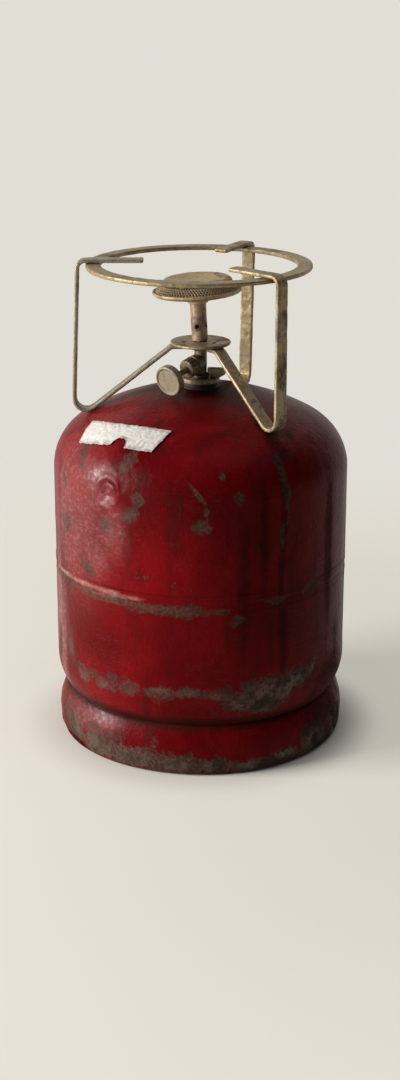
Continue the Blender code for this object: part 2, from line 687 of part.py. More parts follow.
def make_valve_body(kit, gland):
    """The tap's casting: tail with its pin, shoulder, post, spigot and gland boss."""
    profile = [(0.0, SPIGOT_TOP), (SPIGOT_RADIUS, SPIGOT_TOP), (SPIGOT_RADIUS, POST_TOP),
               (POST_RADIUS, POST_TOP), (POST_RADIUS, POST_BOTTOM + SHOULDER_THICKNESS),
               (SHOULDER_RADIUS, POST_BOTTOM), (SHOULDER_RADIUS, SHOULDER_BOTTOM),
               (TAIL_RADIUS, SHOULDER_BOTTOM), (TAIL_RADIUS, TAIL_END), (PIN_RADIUS, TAIL_END),
               (PIN_RADIUS, BALL_CENTRE + BALL_RADIUS + SEAT_GAP),
               (0.0, BALL_CENTRE + BALL_RADIUS + SEAT_GAP)]
    body = turned("valve_body", profile, closed=False)
    nose_end = GLAND_BOSS_LENGTH + GLAND_NOSE_LENGTH
    boss_profile = [(0.0, nose_end), (GLAND_NOSE_RADIUS, nose_end),
                    (GLAND_NOSE_RADIUS, GLAND_BOSS_LENGTH),
                    (GLAND_BOSS_RADIUS, GLAND_BOSS_LENGTH),
                    (GLAND_BOSS_RADIUS * GLAND_ROOT_SHARE, 0.0), (0.0, 0.0)]
    boss = turned("gland_boss", boss_profile, closed=False)
    boss.matrix_world = gland
    boolean(body, kit, boss, "UNION")
    pocket_radius = SPINDLE_RADIUS + BORE_GAP + PACKING_WIDTH
    pocket_start = nose_end - GLAND_POCKET
    bore_radius = SPINDLE_RADIUS + BORE_GAP
    mouth = nose_end + TOOL_STAND
    bore_profile = [(0.0, mouth), (pocket_radius, mouth),
                    (pocket_radius, pocket_start), (bore_radius, pocket_start),
                    (bore_radius, SPINDLE_TIP_START), (0.0, SPINDLE_TIP_START - GAS_BORE)]
    bore = turned("gland_bore", bore_profile, TINY_STEPS, closed=False)
    bore.matrix_world = gland
    boolean(body, kit, bore)
    low = TAIL_END + PIN_RADIUS
    passage = cylinder("gas_passage", GAS_BORE, SPIGOT_TOP + TOOL_STAND - low,
                       Matrix.Translation((0.0, 0.0, low)), HOLE_STEPS)
    boolean(body, kit, passage)
    kit.piece(body, "dull_brass")
    return nose_end, pocket_start, pocket_radius


def make_gland_packing(kit, gland, nose_end, pocket_start, pocket_radius):
    """The soft packing ring round the spindle, in the gland's pocket."""
    inner = SPINDLE_RADIUS + BORE_GAP
    outer = pocket_radius - BORE_GAP
    top = nose_end - SEAT_GAP
    low = pocket_start + SEAT_GAP
    item = turned("gland_packing", [(inner, top), (outer, top), (outer, low), (inner, low)],
                  TINY_STEPS)
    item.matrix_world = gland
    kit.piece(item, "black_rubber")


def make_gland_nut(kit, gland, nose_end):
    """The ribbed cap nut that closes the gland."""
    inner = GLAND_NOSE_RADIUS + BORE_GAP
    outer = inner + GLAND_NUT_WALL
    start = GLAND_BOSS_LENGTH + SEAT_GAP
    wall = nose_end + SEAT_GAP
    end = wall + GLAND_NUT_END
    hole = SPINDLE_RADIUS + BORE_GAP
    profile = [(hole, end), (outer - GLAND_NUT_EDGE, end), (outer, end - GLAND_NUT_EDGE),
               (outer, start), (inner, start), (inner, wall), (hole, wall)]
    nut = baked(turned("gland_nut", profile, GLAND_NUT_TEETH * 2))
    for vert in nut.data.vertices:
        level = Vector((vert.co.x, vert.co.y))
        tooth = round(math.atan2(level.y, level.x) * GLAND_NUT_TEETH / math.pi)
        if level.length > outer - GLAND_NUT_EDGE / 2.0 and tooth % 2:
            level = level.normalized() * (outer - GLAND_NUT_GROOVE)
            vert.co.x, vert.co.y = level
    nut.matrix_world = gland
    kit.piece(nut, "dull_brass")
    return end


def make_spindle_and_knob(kit, gland, nut_end):
    """The needle spindle and the round knob that turn together on the gland's axis."""
    carrier = kit.empty("knob_axis", gland)
    tip = SPINDLE_TIP_START + BORE_GAP
    face = KNOB_REACH - KNOB_DISH
    floor = face - KNOB_FACE
    end = floor - SEAT_GAP
    shaft = [(0.0, end), (SPINDLE_RADIUS, end), (SPINDLE_RADIUS, tip + SPINDLE_TIP_LENGTH),
             (GAS_BORE / 2.0, tip), (0.0, tip)]
    spindle = turned("needle_spindle", shaft, TINY_STEPS, closed=False)
    bore = SPINDLE_RADIUS + BORE_GAP
    back = KNOB_REACH - KNOB_THICKNESS
    hub_start = back - min(KNOB_HUB_LENGTH, back - nut_end - 3.0 * SEAT_GAP)
    rim = KNOB_RADIUS - KNOB_RIM_WIDTH
    lip = KNOB_RADIUS - KNOB_EDGE
    profile = [(0.0, face), (rim - KNOB_EDGE, face), (rim, KNOB_REACH), (lip, KNOB_REACH),
               (KNOB_RADIUS, KNOB_REACH - KNOB_EDGE), (KNOB_RADIUS, back + KNOB_EDGE),
               (lip, back), (KNOB_HUB_RADIUS, back), (KNOB_HUB_RADIUS, hub_start),
               (bore, hub_start), (bore, floor), (0.0, floor)]
    knob = turned("knob", profile, PLATE_STEPS, closed=False)
    for item, finish in ((spindle, "dull_brass"), (knob, "pale_metal")):
        kit.piece(item, finish)
        item.parent = carrier


# Collar plate, nut, jet and tube

def make_collar(kit):
    """The collar plate that carries the frame, and the hex nut under it."""
    bore = SPIGOT_RADIUS + BORE_GAP
    rim = COLLAR_RADIUS - COLLAR_EDGE
    profile = [(bore, COLLAR_TOP), (rim, COLLAR_TOP), (COLLAR_RADIUS, COLLAR_TOP - COLLAR_EDGE),
               (COLLAR_RADIUS, COLLAR_BOTTOM + COLLAR_EDGE), (rim, COLLAR_BOTTOM),
               (bore, COLLAR_BOTTOM)]
    collar = turned("collar_plate", profile, PLATE_STEPS)
    for i, angle in enumerate(COLLAR_HOLE_ANGLES):
        spot = direction(angle) * COLLAR_HOLE_CIRCLE
        spot.z = COLLAR_BOTTOM - COLLAR_THICKNESS
        hole = cylinder("collar_hole_%d" % (i + 1), COLLAR_HOLE_RADIUS, 3.0 * COLLAR_THICKNESS,
                        Matrix.Translation(spot), HOLE_STEPS)
        boolean(collar, kit, hole)
    kit.piece(collar, "tarnished_strip")
    low = POST_TOP + SEAT_GAP
    nut = cylinder("collar_nut", COLLAR_NUT_FLATS / math.cos(math.pi / 6.0), COLLAR_NUT_HEIGHT,
                   Matrix.Translation((0.0, 0.0, low)) @ Matrix.Rotation(math.pi / 2.0, 4, "Z"), 6)
    hole = cylinder("collar_nut_thread", bore, 3.0 * COLLAR_NUT_HEIGHT,
                    Matrix.Translation((0.0, 0.0, low - COLLAR_NUT_HEIGHT)), SMALL_STEPS)
    boolean(nut, kit, hole)
    kit.piece(nut, "dull_brass")


def make_jet(kit):
    """The drilled brass jet on top of the spigot."""
    low = SPIGOT_TOP + SEAT_GAP
    cone = low + JET_HEIGHT * JET_CONE_START
    flats = low + JET_HEIGHT * JET_FLATS_SHARE
    profile = [(JET_DRILL, low + JET_HEIGHT), (JET_RADIUS * JET_NOSE_SHARE, low + JET_HEIGHT),
               (JET_RADIUS, cone), (JET_RADIUS, flats), (JET_FLATS, flats), (JET_FLATS, low),
               (JET_DRILL, low)]
    kit.piece(turned("jet", profile, HOLE_STEPS), "dull_brass")


def make_mixing_tube(kit, lean):
    """The leaning tube that mixes gas and air, with its ring of air holes."""
    inner = TUBE_RADIUS - TUBE_WALL
    profile = [(inner, TUBE_LENGTH), (TUBE_RADIUS, TUBE_LENGTH), (TUBE_RADIUS, 0.0), (inner, 0.0)]
    tube = turned("mixing_tube", profile)
    for i in range(AIR_HOLES):
        angle = AIR_HOLE_TURN + math.tau * i / AIR_HOLES
        level = direction(angle)
        aim = level.to_track_quat("Z", "Y").to_matrix().to_4x4()
        place = Matrix.Translation((0.0, 0.0, AIR_HOLE_HEIGHT)) @ aim
        hole = cylinder("air_hole_%d" % (i + 1), AIR_HOLE_RADIUS, 2.0 * TUBE_RADIUS, place,
                        HOLE_STEPS)
        hole.parent = lean
        boolean(tube, kit, hole)
    kit.piece(tube, "dull_brass")
    tube.parent = lean


# Burner

def make_burner(kit, lean):
    """The burner's bowl, its lattice band and its dished cap."""
    socket = TUBE_RADIUS + BORE_GAP + BOWL_SHEET
    base = BOWL_RIM_HEIGHT - BOWL_LIP - BOWL_DEPTH
    shelf = base + BOWL_DEPTH
    bowl_profile = [(BOWL_RADIUS, BOWL_RIM_HEIGHT), (BOWL_RADIUS, shelf + BOWL_CORNER),
                    (BOWL_RADIUS - BOWL_CORNER, shelf),
                    (socket + BOWL_THROAT, base + BOWL_THROAT_RISE), (socket, base),
                    (socket, base - BOWL_SOCKET_LENGTH)]
    bowl = solidify(turned("burner_bowl", bowl_profile, BURNER_STEPS, closed=False), BOWL_SHEET)
    mesh_foot = BOWL_RIM_HEIGHT - MESH_SUNK
    band = lattice_band("burner_mesh", BOWL_RADIUS - BOWL_SHEET - BORE_GAP - MESH_SHEET / 2.0,
                        mesh_foot, MESH_TOP_RADIUS, mesh_foot + MESH_HEIGHT)
    low = mesh_foot + MESH_HEIGHT + SEAT_GAP + MESH_SHEET / 2.0
    top = low + CAP_HEIGHT
    skirt = low + CAP_SKIRT
    cap_profile = [(0.0, top - CAP_DISH), (CAP_TOP_RADIUS * CAP_DISH_SHARE, top - CAP_DISH * 0.7),
                   (CAP_TOP_RADIUS, top), (CAP_TOP_RADIUS + CAP_SHOULDER, top - CAP_EDGE),
                   (CAP_RADIUS - CAP_EDGE, skirt + CAP_EDGE), (CAP_RADIUS, skirt - CAP_EDGE),
                   (CAP_RADIUS - CAP_EDGE, low)]
    cap = solidify(turned("burner_cap", cap_profile, BURNER_STEPS, closed=False), CAP_SHEET)
    for item in (bowl, band, cap):
        kit.piece(item, "tarnished_strip")
        item.parent = lean


def lattice_band(name, low_radius, low, top_radius, top):
    """A cone of crossing strands: a diamond grid thickened by a Wireframe modifier."""
    bm = bmesh.new()
    rings = []
    for row in range(2 * MESH_ROWS + 1):
        share = row / (2.0 * MESH_ROWS)
        radius = low_radius + (top_radius - low_radius) * share
        height = low + (top - low) * share
        ring = []
        for cell in range(MESH_CELLS):
            angle = math.tau * (cell + (row % 2) / 2.0) / MESH_CELLS
            ring.append(bm.verts.new((radius * math.cos(angle), radius * math.sin(angle), height)))
        rings.append(ring)
    for row in range(2 * MESH_ROWS - 1):
        below, middle, above = rings[row], rings[row + 1], rings[row + 2]
        for cell in range(MESH_CELLS):
            shift = cell - 1 + row % 2
            bm.faces.new((below[cell], middle[(shift + 1) % MESH_CELLS], above[cell],
                          middle[shift % MESH_CELLS]))
    for cell in range(MESH_CELLS):
        ahead = (cell + 1) % MESH_CELLS
        bm.faces.new((rings[0][cell], rings[0][ahead], rings[1][cell]))
        last = 2 * MESH_ROWS
        bm.faces.new((rings[last][ahead], rings[last][cell], rings[last - 1][cell]))
    bmesh.ops.recalc_face_normals(bm, faces=bm.faces)
    mesh = bpy.data.meshes.new(name)
    bm.to_mesh(mesh)
    bm.free()
    item = bpy.data.objects.new(name, mesh)
    wire = item.modifiers.new("strands", "WIREFRAME")
    wire.thickness = MESH_STRAND
    wire.use_boundary = True
    wire.use_even_offset = False
    return item


# Pan ring and frame arms

def make_pan_ring(kit):
    """The flat ring that the pan stands over."""
    inner = RING_RADIUS - RING_WIDTH
    low = RING_HEIGHT - RING_THICKNESS
    rim = RING_RADIUS - RING_EDGE
    profile = [(inner, RING_HEIGHT), (rim, RING_HEIGHT), (RING_RADIUS, RING_HEIGHT - RING_EDGE),
               (RING_RADIUS, low + RING_EDGE), (rim, low), (inner, low)]
    ring = turned("pan_ring", profile, RING_STEPS)
    ring.location.x = RING_OFFSET
    kit.piece(ring, "tarnished_strip")


def tangent(point, centre, radius, side):
    """The line from a point that just touches a circle: the point and its direction."""
    reach = Vector(centre) - Vector(point)
    swing = math.asin(radius / reach.length) * side
    return Vector(point), Matrix.Rotation(swing, 2) @ reach.normalized()


def meet(first, second):
    """Crossing of two lines, each given as a point and a direction."""
    (p, a), (q, b) = first, second
    spread = a.x * b.y - a.y * b.x
    along = ((q.x - p.x) * b.y - (q.y - p.y) * b.x) / spread
    return p + a * along


def arm_path(leg_top, leg_foot):
    """Centre line of an arm in its own (radius, height) plane, from tab to finger."""
    foot = leg_foot - FOOT_BEND
    rest = TOP_CROWN_RADIUS + SEAT_GAP + FOOT_BEND + STRIP_THICKNESS / 2.0
    centre = (foot, TOP_CROWN_CENTRE + math.sqrt(rest ** 2 - foot ** 2))
    top = Vector((leg_top, FINGER_HEIGHT))
    tab = Vector((TAB_END, TAB_HEIGHT))
    brace = tangent(tab, centre, FOOT_BEND, -1.0)
    leg = tangent(top, centre, FOOT_BEND, 1.0)
    corners = [(TAB_START, TAB_HEIGHT), tab, meet(brace, leg), top, (FINGER_TIP, FINGER_HEIGHT)]
    return rounded_path(corners, (TAB_BEND, FOOT_BEND, TOP_BEND))


def leg_stations(path):
    """Points along an arm, each with its twist share: 0 up to the foot, 1 above the leg."""
    leg_start = 2 * (ARC_STEPS + 1)
    stations = [(point, 0.0) for point in path[:leg_start + 1]]
    for i in range(1, LEG_STATIONS):
        share = i / LEG_STATIONS
        stations.append((path[leg_start].lerp(path[leg_start + 1], share), share))
    return stations + [(point, 1.0) for point in path[leg_start + 1:]]


def make_arm(kit, name):
    """One arm: a ribbon along its path, given the strip's thickness and soft edges."""
    azimuth, leg_top, leg_foot, foot_shift, twist = ARMS[name]
    out = direction(azimuth)
    across = Vector((math.cos(azimuth), math.sin(azimuth), 0.0))
    bm = bmesh.new()
    rails = []
    for point, share in leg_stations(arm_path(leg_top, leg_foot)):
        brace = min(1.0, max(0.0, (point.x - TAB_END) / (leg_foot - TAB_END)))
        side = foot_shift * (1.0 - share) * (brace if share == 0.0 else 1.0)
        radial = point.x
        if share == 1.0:
            radial = leg_top + (point.x - leg_top) * math.cos(twist)
            side = (point.x - leg_top) * math.sin(twist)
        centre = out * radial + across * side + Vector((0.0, 0.0, point.y))
        width = across * math.cos(twist * share) - out * math.sin(twist * share)
        rails.append([bm.verts.new(centre + width * STRIP_WIDTH * half) for half in (0.5, -0.5)])
    for first, second in zip(rails, rails[1:]):
        bm.faces.new((first[0], first[1], second[1], second[0]))
    mesh = bpy.data.meshes.new(name)
    bm.to_mesh(mesh)
    bm.free()
    arm = solidify(bpy.data.objects.new(name, mesh), STRIP_THICKNESS, 0.0)
    bevel = arm.modifiers.new("edges", "BEVEL")
    bevel.width = STRIP_EDGE
    bevel.segments = 1
    bevel.limit_method = "ANGLE"
    bevel.angle_limit = math.radians(50.0)
    kit.piece(arm, "tarnished_strip")


# Tape

def make_tape(kit):
    """The torn strip of tape stuck across the dome, with a notch in its lower edge."""
    bm = bmesh.new()
    bmesh.ops.create_grid(bm, x_segments=TAPE_COLUMNS, y_segments=TAPE_ROWS, size=0.5)
    for vert in bm.verts:
        along, down = vert.co.x + 0.5, 0.5 - vert.co.y
        azimuth = TAPE_START_AZIMUTH + (TAPE_END_AZIMUTH - TAPE_START_AZIMUTH) * along
        dip = TAPE_INNER_DIP * 4.0 * along * (1.0 - along)
        inner = TAPE_INNER_START + (TAPE_INNER_END - TAPE_INNER_START) * along - dip
        notch = min(1.0, abs(azimuth - TAPE_NOTCH_AZIMUTH) / TAPE_NOTCH_HALF)
        outer = TAPE_OUTER - TAPE_NOTCH_DEPTH * math.sqrt(1.0 - notch ** 2)
        radius = inner + (outer - inner) * down
        azimuth += TAPE_SLANT * (0.5 - down) * (2.0 * along - 1.0)
        level = direction(azimuth) * (radius + SEAT_GAP * radius / TOP_CROWN_RADIUS)
        vert.co = Vector((level.x, level.y, dome_height(radius) + SEAT_GAP))
    bmesh.ops.recalc_face_normals(bm, faces=bm.faces)
    if sum(face.normal.z for face in bm.faces) < 0.0:
        bmesh.ops.reverse_faces(bm, faces=bm.faces)
    mesh = bpy.data.meshes.new("tape_strip")
    bm.to_mesh(mesh)
    bm.free()
    kit.piece(solidify(bpy.data.objects.new("tape_strip", mesh), TAPE_THICKNESS, 1.0),
              "white_tape")


def main():
    """Build every piece of the cylinder."""
    clear_scene()
    kit = Kit()
    make_foot_ring(kit)
    make_lower_shell(kit)
    make_upper_shell(kit)
    make_girth_weld(kit)
    make_neck_boss(kit)
    make_valve_insert(kit)
    make_valve_ball(kit)
    make_valve_spring(kit, make_spring_retainer(kit))
    make_neck_seal(kit)
    make_wing_nut(kit)
    gland = gland_matrix()
    nose_end, pocket_start, pocket_radius = make_valve_body(kit, gland)
    make_gland_packing(kit, gland, nose_end, pocket_start, pocket_radius)
    make_spindle_and_knob(kit, gland, make_gland_nut(kit, gland, nose_end))
    make_collar(kit)
    make_jet(kit)
    tube_foot = Matrix.Translation((TUBE_OFFSET, 0.0, COLLAR_TOP + TUBE_SEAT_GAP))
    lean = kit.empty("burner_lean", tube_foot @ Matrix.Rotation(BURNER_LEAN, 4, "Y"))
    make_mixing_tube(kit, lean)
    make_burner(kit, lean)
    make_pan_ring(kit)
    for name in ARMS:
        make_arm(kit, name)
    make_tape(kit)


main()
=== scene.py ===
"""Looks of a weathered camping gas cylinder: dented red shells, a bent strip frame, tap and burner.

Lengths are metres, +Z is up and -Y is the front. An azimuth is an angle round the bottle's
axis from the front, growing towards the right.
"""
import logging
import math
from dataclasses import dataclass, field
from enum import Enum
from typing import Callable, Sequence

import bmesh
import bpy
from mathutils import Matrix, Vector, noise


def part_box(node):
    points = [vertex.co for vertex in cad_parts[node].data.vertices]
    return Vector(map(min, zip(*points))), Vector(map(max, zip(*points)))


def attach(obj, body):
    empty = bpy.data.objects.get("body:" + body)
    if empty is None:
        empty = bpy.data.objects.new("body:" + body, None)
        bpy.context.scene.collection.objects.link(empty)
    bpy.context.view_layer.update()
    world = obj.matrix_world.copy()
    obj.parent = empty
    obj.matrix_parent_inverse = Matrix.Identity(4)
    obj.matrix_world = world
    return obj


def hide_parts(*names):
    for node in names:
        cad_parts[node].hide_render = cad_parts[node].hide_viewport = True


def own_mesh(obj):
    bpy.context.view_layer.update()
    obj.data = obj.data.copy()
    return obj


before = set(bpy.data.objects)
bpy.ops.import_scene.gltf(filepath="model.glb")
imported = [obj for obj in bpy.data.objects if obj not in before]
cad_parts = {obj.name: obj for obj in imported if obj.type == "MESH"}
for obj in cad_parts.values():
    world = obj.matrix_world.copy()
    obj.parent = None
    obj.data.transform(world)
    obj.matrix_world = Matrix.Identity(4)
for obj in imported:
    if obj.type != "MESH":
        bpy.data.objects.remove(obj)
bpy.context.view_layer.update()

MM = 0.001
LOG = logging.getLogger("gas_cylinder")
Colour = tuple[float, float, float]
Profile = list[tuple[float, float]]
StainAndShade = tuple[float, float, float, float]


class Body(Enum):
    """The moving bodies that pieces ride on."""

    ROOT = "root"
    KNOB = "knob_group"
    BALL = "ball"


class Slot(Enum):
    """The record's material slots."""

    BODY_PAINT = "body_paint"
    FOOT_PAINT = "foot_paint"
    WELD = "weld_steel"
    FRAME = "frame_metal"
    BURNER = "burner_metal"
    BRASS = "brass"
    KNOB = "knob_metal"
    SPRING = "spring_steel"
    RUBBER = "seal_rubber"
    TAPE = "tape"


# Shader expressions

class Wire:
    """A shader socket that can be used in sums, products and comparisons."""

    def __init__(self, graph: "Graph", socket: bpy.types.NodeSocket) -> None:
        """Keep the socket and the graph it belongs to."""
        self.graph = graph
        self.socket = socket

    def _math(self, operation: str, *values: "Wire | float") -> "Wire":
        """Add a Math node for an operation on values."""
        return self.graph.node("ShaderNodeMath", {"operation": operation}, values)

    def __add__(self, other: "Wire | float") -> "Wire":
        """Sum."""
        return self._math("ADD", self, other)

    def __radd__(self, other: float) -> "Wire":
        """Sum, reflected."""
        return self._math("ADD", other, self)

    def __sub__(self, other: "Wire | float") -> "Wire":
        """Difference."""
        return self._math("SUBTRACT", self, other)

    def __rsub__(self, other: float) -> "Wire":
        """Difference, reflected."""
        return self._math("SUBTRACT", other, self)

    def __mul__(self, other: "Wire | float") -> "Wire":
        """Product."""
        return self._math("MULTIPLY", self, other)

    def __rmul__(self, other: float) -> "Wire":
        """Product, reflected."""
        return self._math("MULTIPLY", other, self)

    def __truediv__(self, other: "Wire | float") -> "Wire":
        """Quotient."""
        return self._math("DIVIDE", self, other)

    def __neg__(self) -> "Wire":
        """Negative."""
        return self._math("MULTIPLY", self, -1.0)

    def most(self, other: "Wire | float") -> "Wire":
        """The larger of two values."""
        return self._math("MAXIMUM", self, other)

    def least(self, other: "Wire | float") -> "Wire":
        """The smaller of two values."""
        return self._math("MINIMUM", self, other)

    def size(self) -> "Wire":
        """The value without its sign."""
        return self._math("ABSOLUTE", self)

    def angle_to(self, other: "Wire") -> "Wire":
        """Arctangent of self over other."""
        return self._math("ARCTAN2", self, other)

    def step(self, low: float, high: float) -> "Wire":
        """A smooth step from 0 at low to 1 at high, which may be the smaller of the two.

        Args:
            low: Value that gives 0.
            high: Value that gives 1.

        Returns:
            The step, from 0 to 1.
        """
        settings = {"interpolation_type": "SMOOTHSTEP"}
        if low < high:
            return self.graph.node("ShaderNodeMapRange", settings, (self, low, high, 0.0, 1.0))
        return self.graph.node("ShaderNodeMapRange", settings, (self, high, low, 1.0, 0.0))


class Graph:
    """A material's node tree, built by expressions."""

    def __init__(self, name: str) -> None:
        """Make a material with its Principled shader.

        Args:
            name: The material's name.
        """
        self.material = bpy.data.materials.new(name)
        self.material.use_nodes = True
        self.tree = self.material.node_tree
        self.shader = self.tree.nodes["Principled BSDF"]
        texture = self.tree.nodes.new("ShaderNodeTexCoord")
        self.place = Wire(self, texture.outputs["Object"])
        split = self.tree.nodes.new("ShaderNodeSeparateXYZ")
        self.tree.links.new(texture.outputs["Object"], split.inputs[0])
        self.x, self.y, self.z = (Wire(self, split.outputs[i]) for i in range(3))

    def node(self, kind: str, settings: dict | None = None,
             values: "Sequence[Wire | float | Sequence[float] | None] | dict" = (),
             output: int | str = 0) -> Wire:
        """Add a node, set it up, and give its inputs values or links.

        Args:
            kind: The node's type.
            settings: Attributes of the node, set first.
            values: Inputs in order, None to skip one, or a dict by name or number.
            output: Which output to give back.

        Returns:
            The output as a wire.
        """
        item = self.tree.nodes.new(kind)
        for key, value in (settings or {}).items():
            setattr(item, key, value)
        pairs = values.items() if isinstance(values, dict) else enumerate(values)
        for key, value in pairs:
            if isinstance(value, Wire):
                self.tree.links.new(value.socket, item.inputs[key])
            elif value is not None:
                item.inputs[key].default_value = value
        return Wire(self, item.outputs[output])

    def noise(self, scale: float, detail: float = 3.0, rough: float = 0.55,
              place: Wire | None = None, output: str = "Fac") -> Wire:
        """A noise texture on the object's own coordinates."""
        return self.node("ShaderNodeTexNoise", None,
                         {"Vector": place or self.place, "Scale": scale, "Detail": detail,
                          "Roughness": rough}, output)

    def attribute(self, name: str) -> Wire:
        """A number stored on the mesh's points."""
        return self.node("ShaderNodeAttribute", {"attribute_name": name}, (), "Fac")

    def stretched(self, factors: Colour) -> Wire:
        """The object's coordinates, scaled along each axis."""
        return self.node("ShaderNodeVectorMath", {"operation": "MULTIPLY"}, (self.place, factors))

    def mix(self, factor: Wire | float, first: "Wire | Colour", second: "Wire | Colour") -> Wire:
        """A colour between two others."""
        values: dict = {0: factor}
        for key, value in ((6, first), (7, second)):
            values[key] = value if isinstance(value, Wire) else (*value, 1.0)
        return self.node("ShaderNodeMix", {"data_type": "RGBA"}, values, 2)

    def finish(self, colour: Wire, roughness: "Wire | float", metallic: "Wire | float",
               relief: "Wire | None", depth: float) -> bpy.types.Material:
        """Connect the shader's inputs.

        Args:
            colour: Base colour.
            roughness: Roughness.
            metallic: Metallic share.
            relief: Height for the bump, from 0 to about 1.
            depth: Height of the bump in metres.

        Returns:
            The finished material.
        """
        self.tree.links.new(colour.socket, self.shader.inputs["Base Color"])
        for key, value in (("Roughness", roughness), ("Metallic", metallic)):
            if isinstance(value, Wire):
                self.tree.links.new(value.socket, self.shader.inputs[key])
            else:
                self.shader.inputs[key].default_value = value
        if relief is not None:
            bump = self.node("ShaderNodeBump", None,
                             {"Strength": 1.0, "Distance": depth, "Height": relief}, "Normal")
            self.tree.links.new(bump.socket, self.shader.inputs["Normal"])
        return self.material


# Finishes

@dataclass(frozen=True)
class Patch:
    """A spot on the bottle, worn or carrying painted light or shade: where its middle is and how far it
    reaches.
    """

    azimuth: float
    height: float
    width: float
    tall: float
    lean: float = 0.0

    def depth(self, azimuth: float, height: float) -> float:
        """How deep inside the spot a point lies.

        Args:
            azimuth: The point's azimuth.
            height: Its height.

        Returns:
            1 in the middle, 0 on the edge and less outside.
        """
        away = (azimuth - math.radians(self.azimuth) + math.pi) % math.tau - math.pi
        along = away * WALL_RADIUS
        rise = height - self.height * MM
        across = (along - rise * self.lean) / (self.width * MM)
        return 1.0 - math.hypot(across, rise / (self.tall * MM))


WALL_RADIUS = 101.0 * MM
BARE_SPOTS = (
    Patch(-55.0, 213.0, 4.0, 8.0, -0.3), Patch(-31.0, 212.0, 5.0, 6.0, 0.3), Patch(-63.0, 190.0, 4.0, 5.0),
    Patch(-64.0, 163.0, 6.0, 9.0, 0.3), Patch(-49.0, 139.0, 5.0, 7.0, -0.7),
    Patch(-24.0, 193.0, 4.0, 5.0), Patch(-27.0, 181.0, 6.0, 5.0, 0.5), Patch(-38.0, 172.0, 5.0, 5.0),
    Patch(-1.0, 198.0, 2.0, 6.0, -0.8), Patch(0.0, 177.0, 5.5, 5.0), Patch(2.0, 187.0, 2.0, 4.0),
    Patch(14.0, 194.0, 2.6, 3.4), Patch(8.0, 209.0, 2.0, 2.6), Patch(14.0, 112.0, 5.0, 4.0, 0.5),
    Patch(33.0, 208.0, 3.0, 10.0), Patch(34.0, 190.0, 2.0, 12.0), Patch(32.0, 165.0, 1.8, 9.0),
    Patch(40.0, 226.0, 10.0, 4.0), Patch(-66.0, 122.0, 14.0, 2.6), Patch(-50.0, 121.0, 18.0, 2.8),
    Patch(-34.0, 120.6, 18.0, 2.8), Patch(-18.0, 119.0, 16.0, 3.2), Patch(-5.0, 118.5, 14.0, 3.6),
    Patch(6.0, 118.5, 8.0, 2.2), Patch(30.0, 122.0, 8.0, 2.6), Patch(48.0, 125.0, 10.0, 3.6),
    Patch(-62.0, 74.0, 5.0, 13.0), Patch(-52.0, 59.0, 9.0, 7.0), Patch(-40.0, 57.0, 8.0, 6.0),
    Patch(-28.0, 60.0, 8.0, 5.0), Patch(-16.0, 61.0, 10.0, 4.4), Patch(-5.0, 61.0, 12.0, 3.6),
    Patch(6.0, 59.0, 9.0, 3.6), Patch(15.0, 53.0, 12.0, 8.0), Patch(26.0, 55.0, 15.0, 13.0),
    Patch(35.0, 59.0, 10.0, 12.0, 0.4), Patch(42.0, 62.0, 7.0, 7.0, 0.6), Patch(49.0, 68.0, 3.0, 8.0, 0.5),
    Patch(-75.0, 64.0, 5.0, 15.0),
    Patch(66.0, 82.0, 4.0, 12.0), Patch(-62.0, 13.0, 16.0, 11.0), Patch(-45.0, 10.0, 24.0, 11.0),
    Patch(-28.0, 9.0, 24.0, 9.5), Patch(-11.0, 8.0, 22.0, 7.5), Patch(5.0, 7.0, 18.0, 6.5),
    Patch(20.0, 6.0, 14.0, 4.5), Patch(36.0, 8.0, 14.0, 6.0), Patch(52.0, 11.0, 18.0, 9.0),
    Patch(68.0, 14.0, 14.0, 9.0), Patch(80.0, 24.0, 6.0, 8.0),
    Patch(118.0, 66.0, 14.0, 8.0), Patch(128.0, 9.0, 26.0, 7.0), Patch(150.0, 205.0, 8.0, 6.0),
    Patch(176.0, 150.0, 6.0, 9.0), Patch(-150.0, 62.0, 16.0, 7.0), Patch(-160.0, 9.0, 24.0, 6.0),
    Patch(-118.0, 178.0, 7.0, 8.0), Patch(-98.0, 120.0, 12.0, 3.0), Patch(-104.0, 11.0, 22.0, 8.0),
    Patch(100.0, 190.0, 6.0, 10.0), Patch(138.0, 108.0, 7.0, 5.0), Patch(-140.0, 121.0, 20.0, 3.0),
    Patch(160.0, 121.0, 18.0, 3.0),
)
STREAKS = (
    Patch(32.5, 206.0, 3.2, 16.0), Patch(32.5, 180.0, 3.2, 44.0), Patch(31.5, 138.0, 2.8, 34.0),
    Patch(33.0, 95.0, 4.0, 32.0), Patch(24.0, 170.0, 4.0, 50.0), Patch(58.0, 150.0, 6.0, 70.0),
    Patch(16.0, 130.0, 6.0, 50.0), Patch(84.0, 120.0, 8.0, 70.0), Patch(36.0, 222.0, 8.0, 12.0),
    Patch(60.0, 40.0, 34.0, 34.0), Patch(64.0, 8.0, 26.0, 16.0), Patch(-170.0, 150.0, 6.0, 50.0),
    Patch(-112.0, 140.0, 5.0, 40.0),
)
# Scuffed places, mostly on the left flank; their pale chalk is partly real scuffing and partly painted
# sheen where the light falls.
SCUFFS_AND_SHEEN = (
    Patch(-44.0, 192.0, 17.0, 20.0), Patch(-36.0, 168.0, 14.0, 22.0), Patch(-62.0, 192.0, 14.0, 34.0),
    Patch(-45.0, 148.0, 16.0, 18.0), Patch(-72.0, 100.0, 14.0, 46.0), Patch(-54.0, 27.0, 30.0, 13.0),
    Patch(-56.0, 172.0, 34.0, 60.0), Patch(-70.0, 84.0, 9.0, 60.0), Patch(140.0, 160.0, 18.0, 30.0),
)
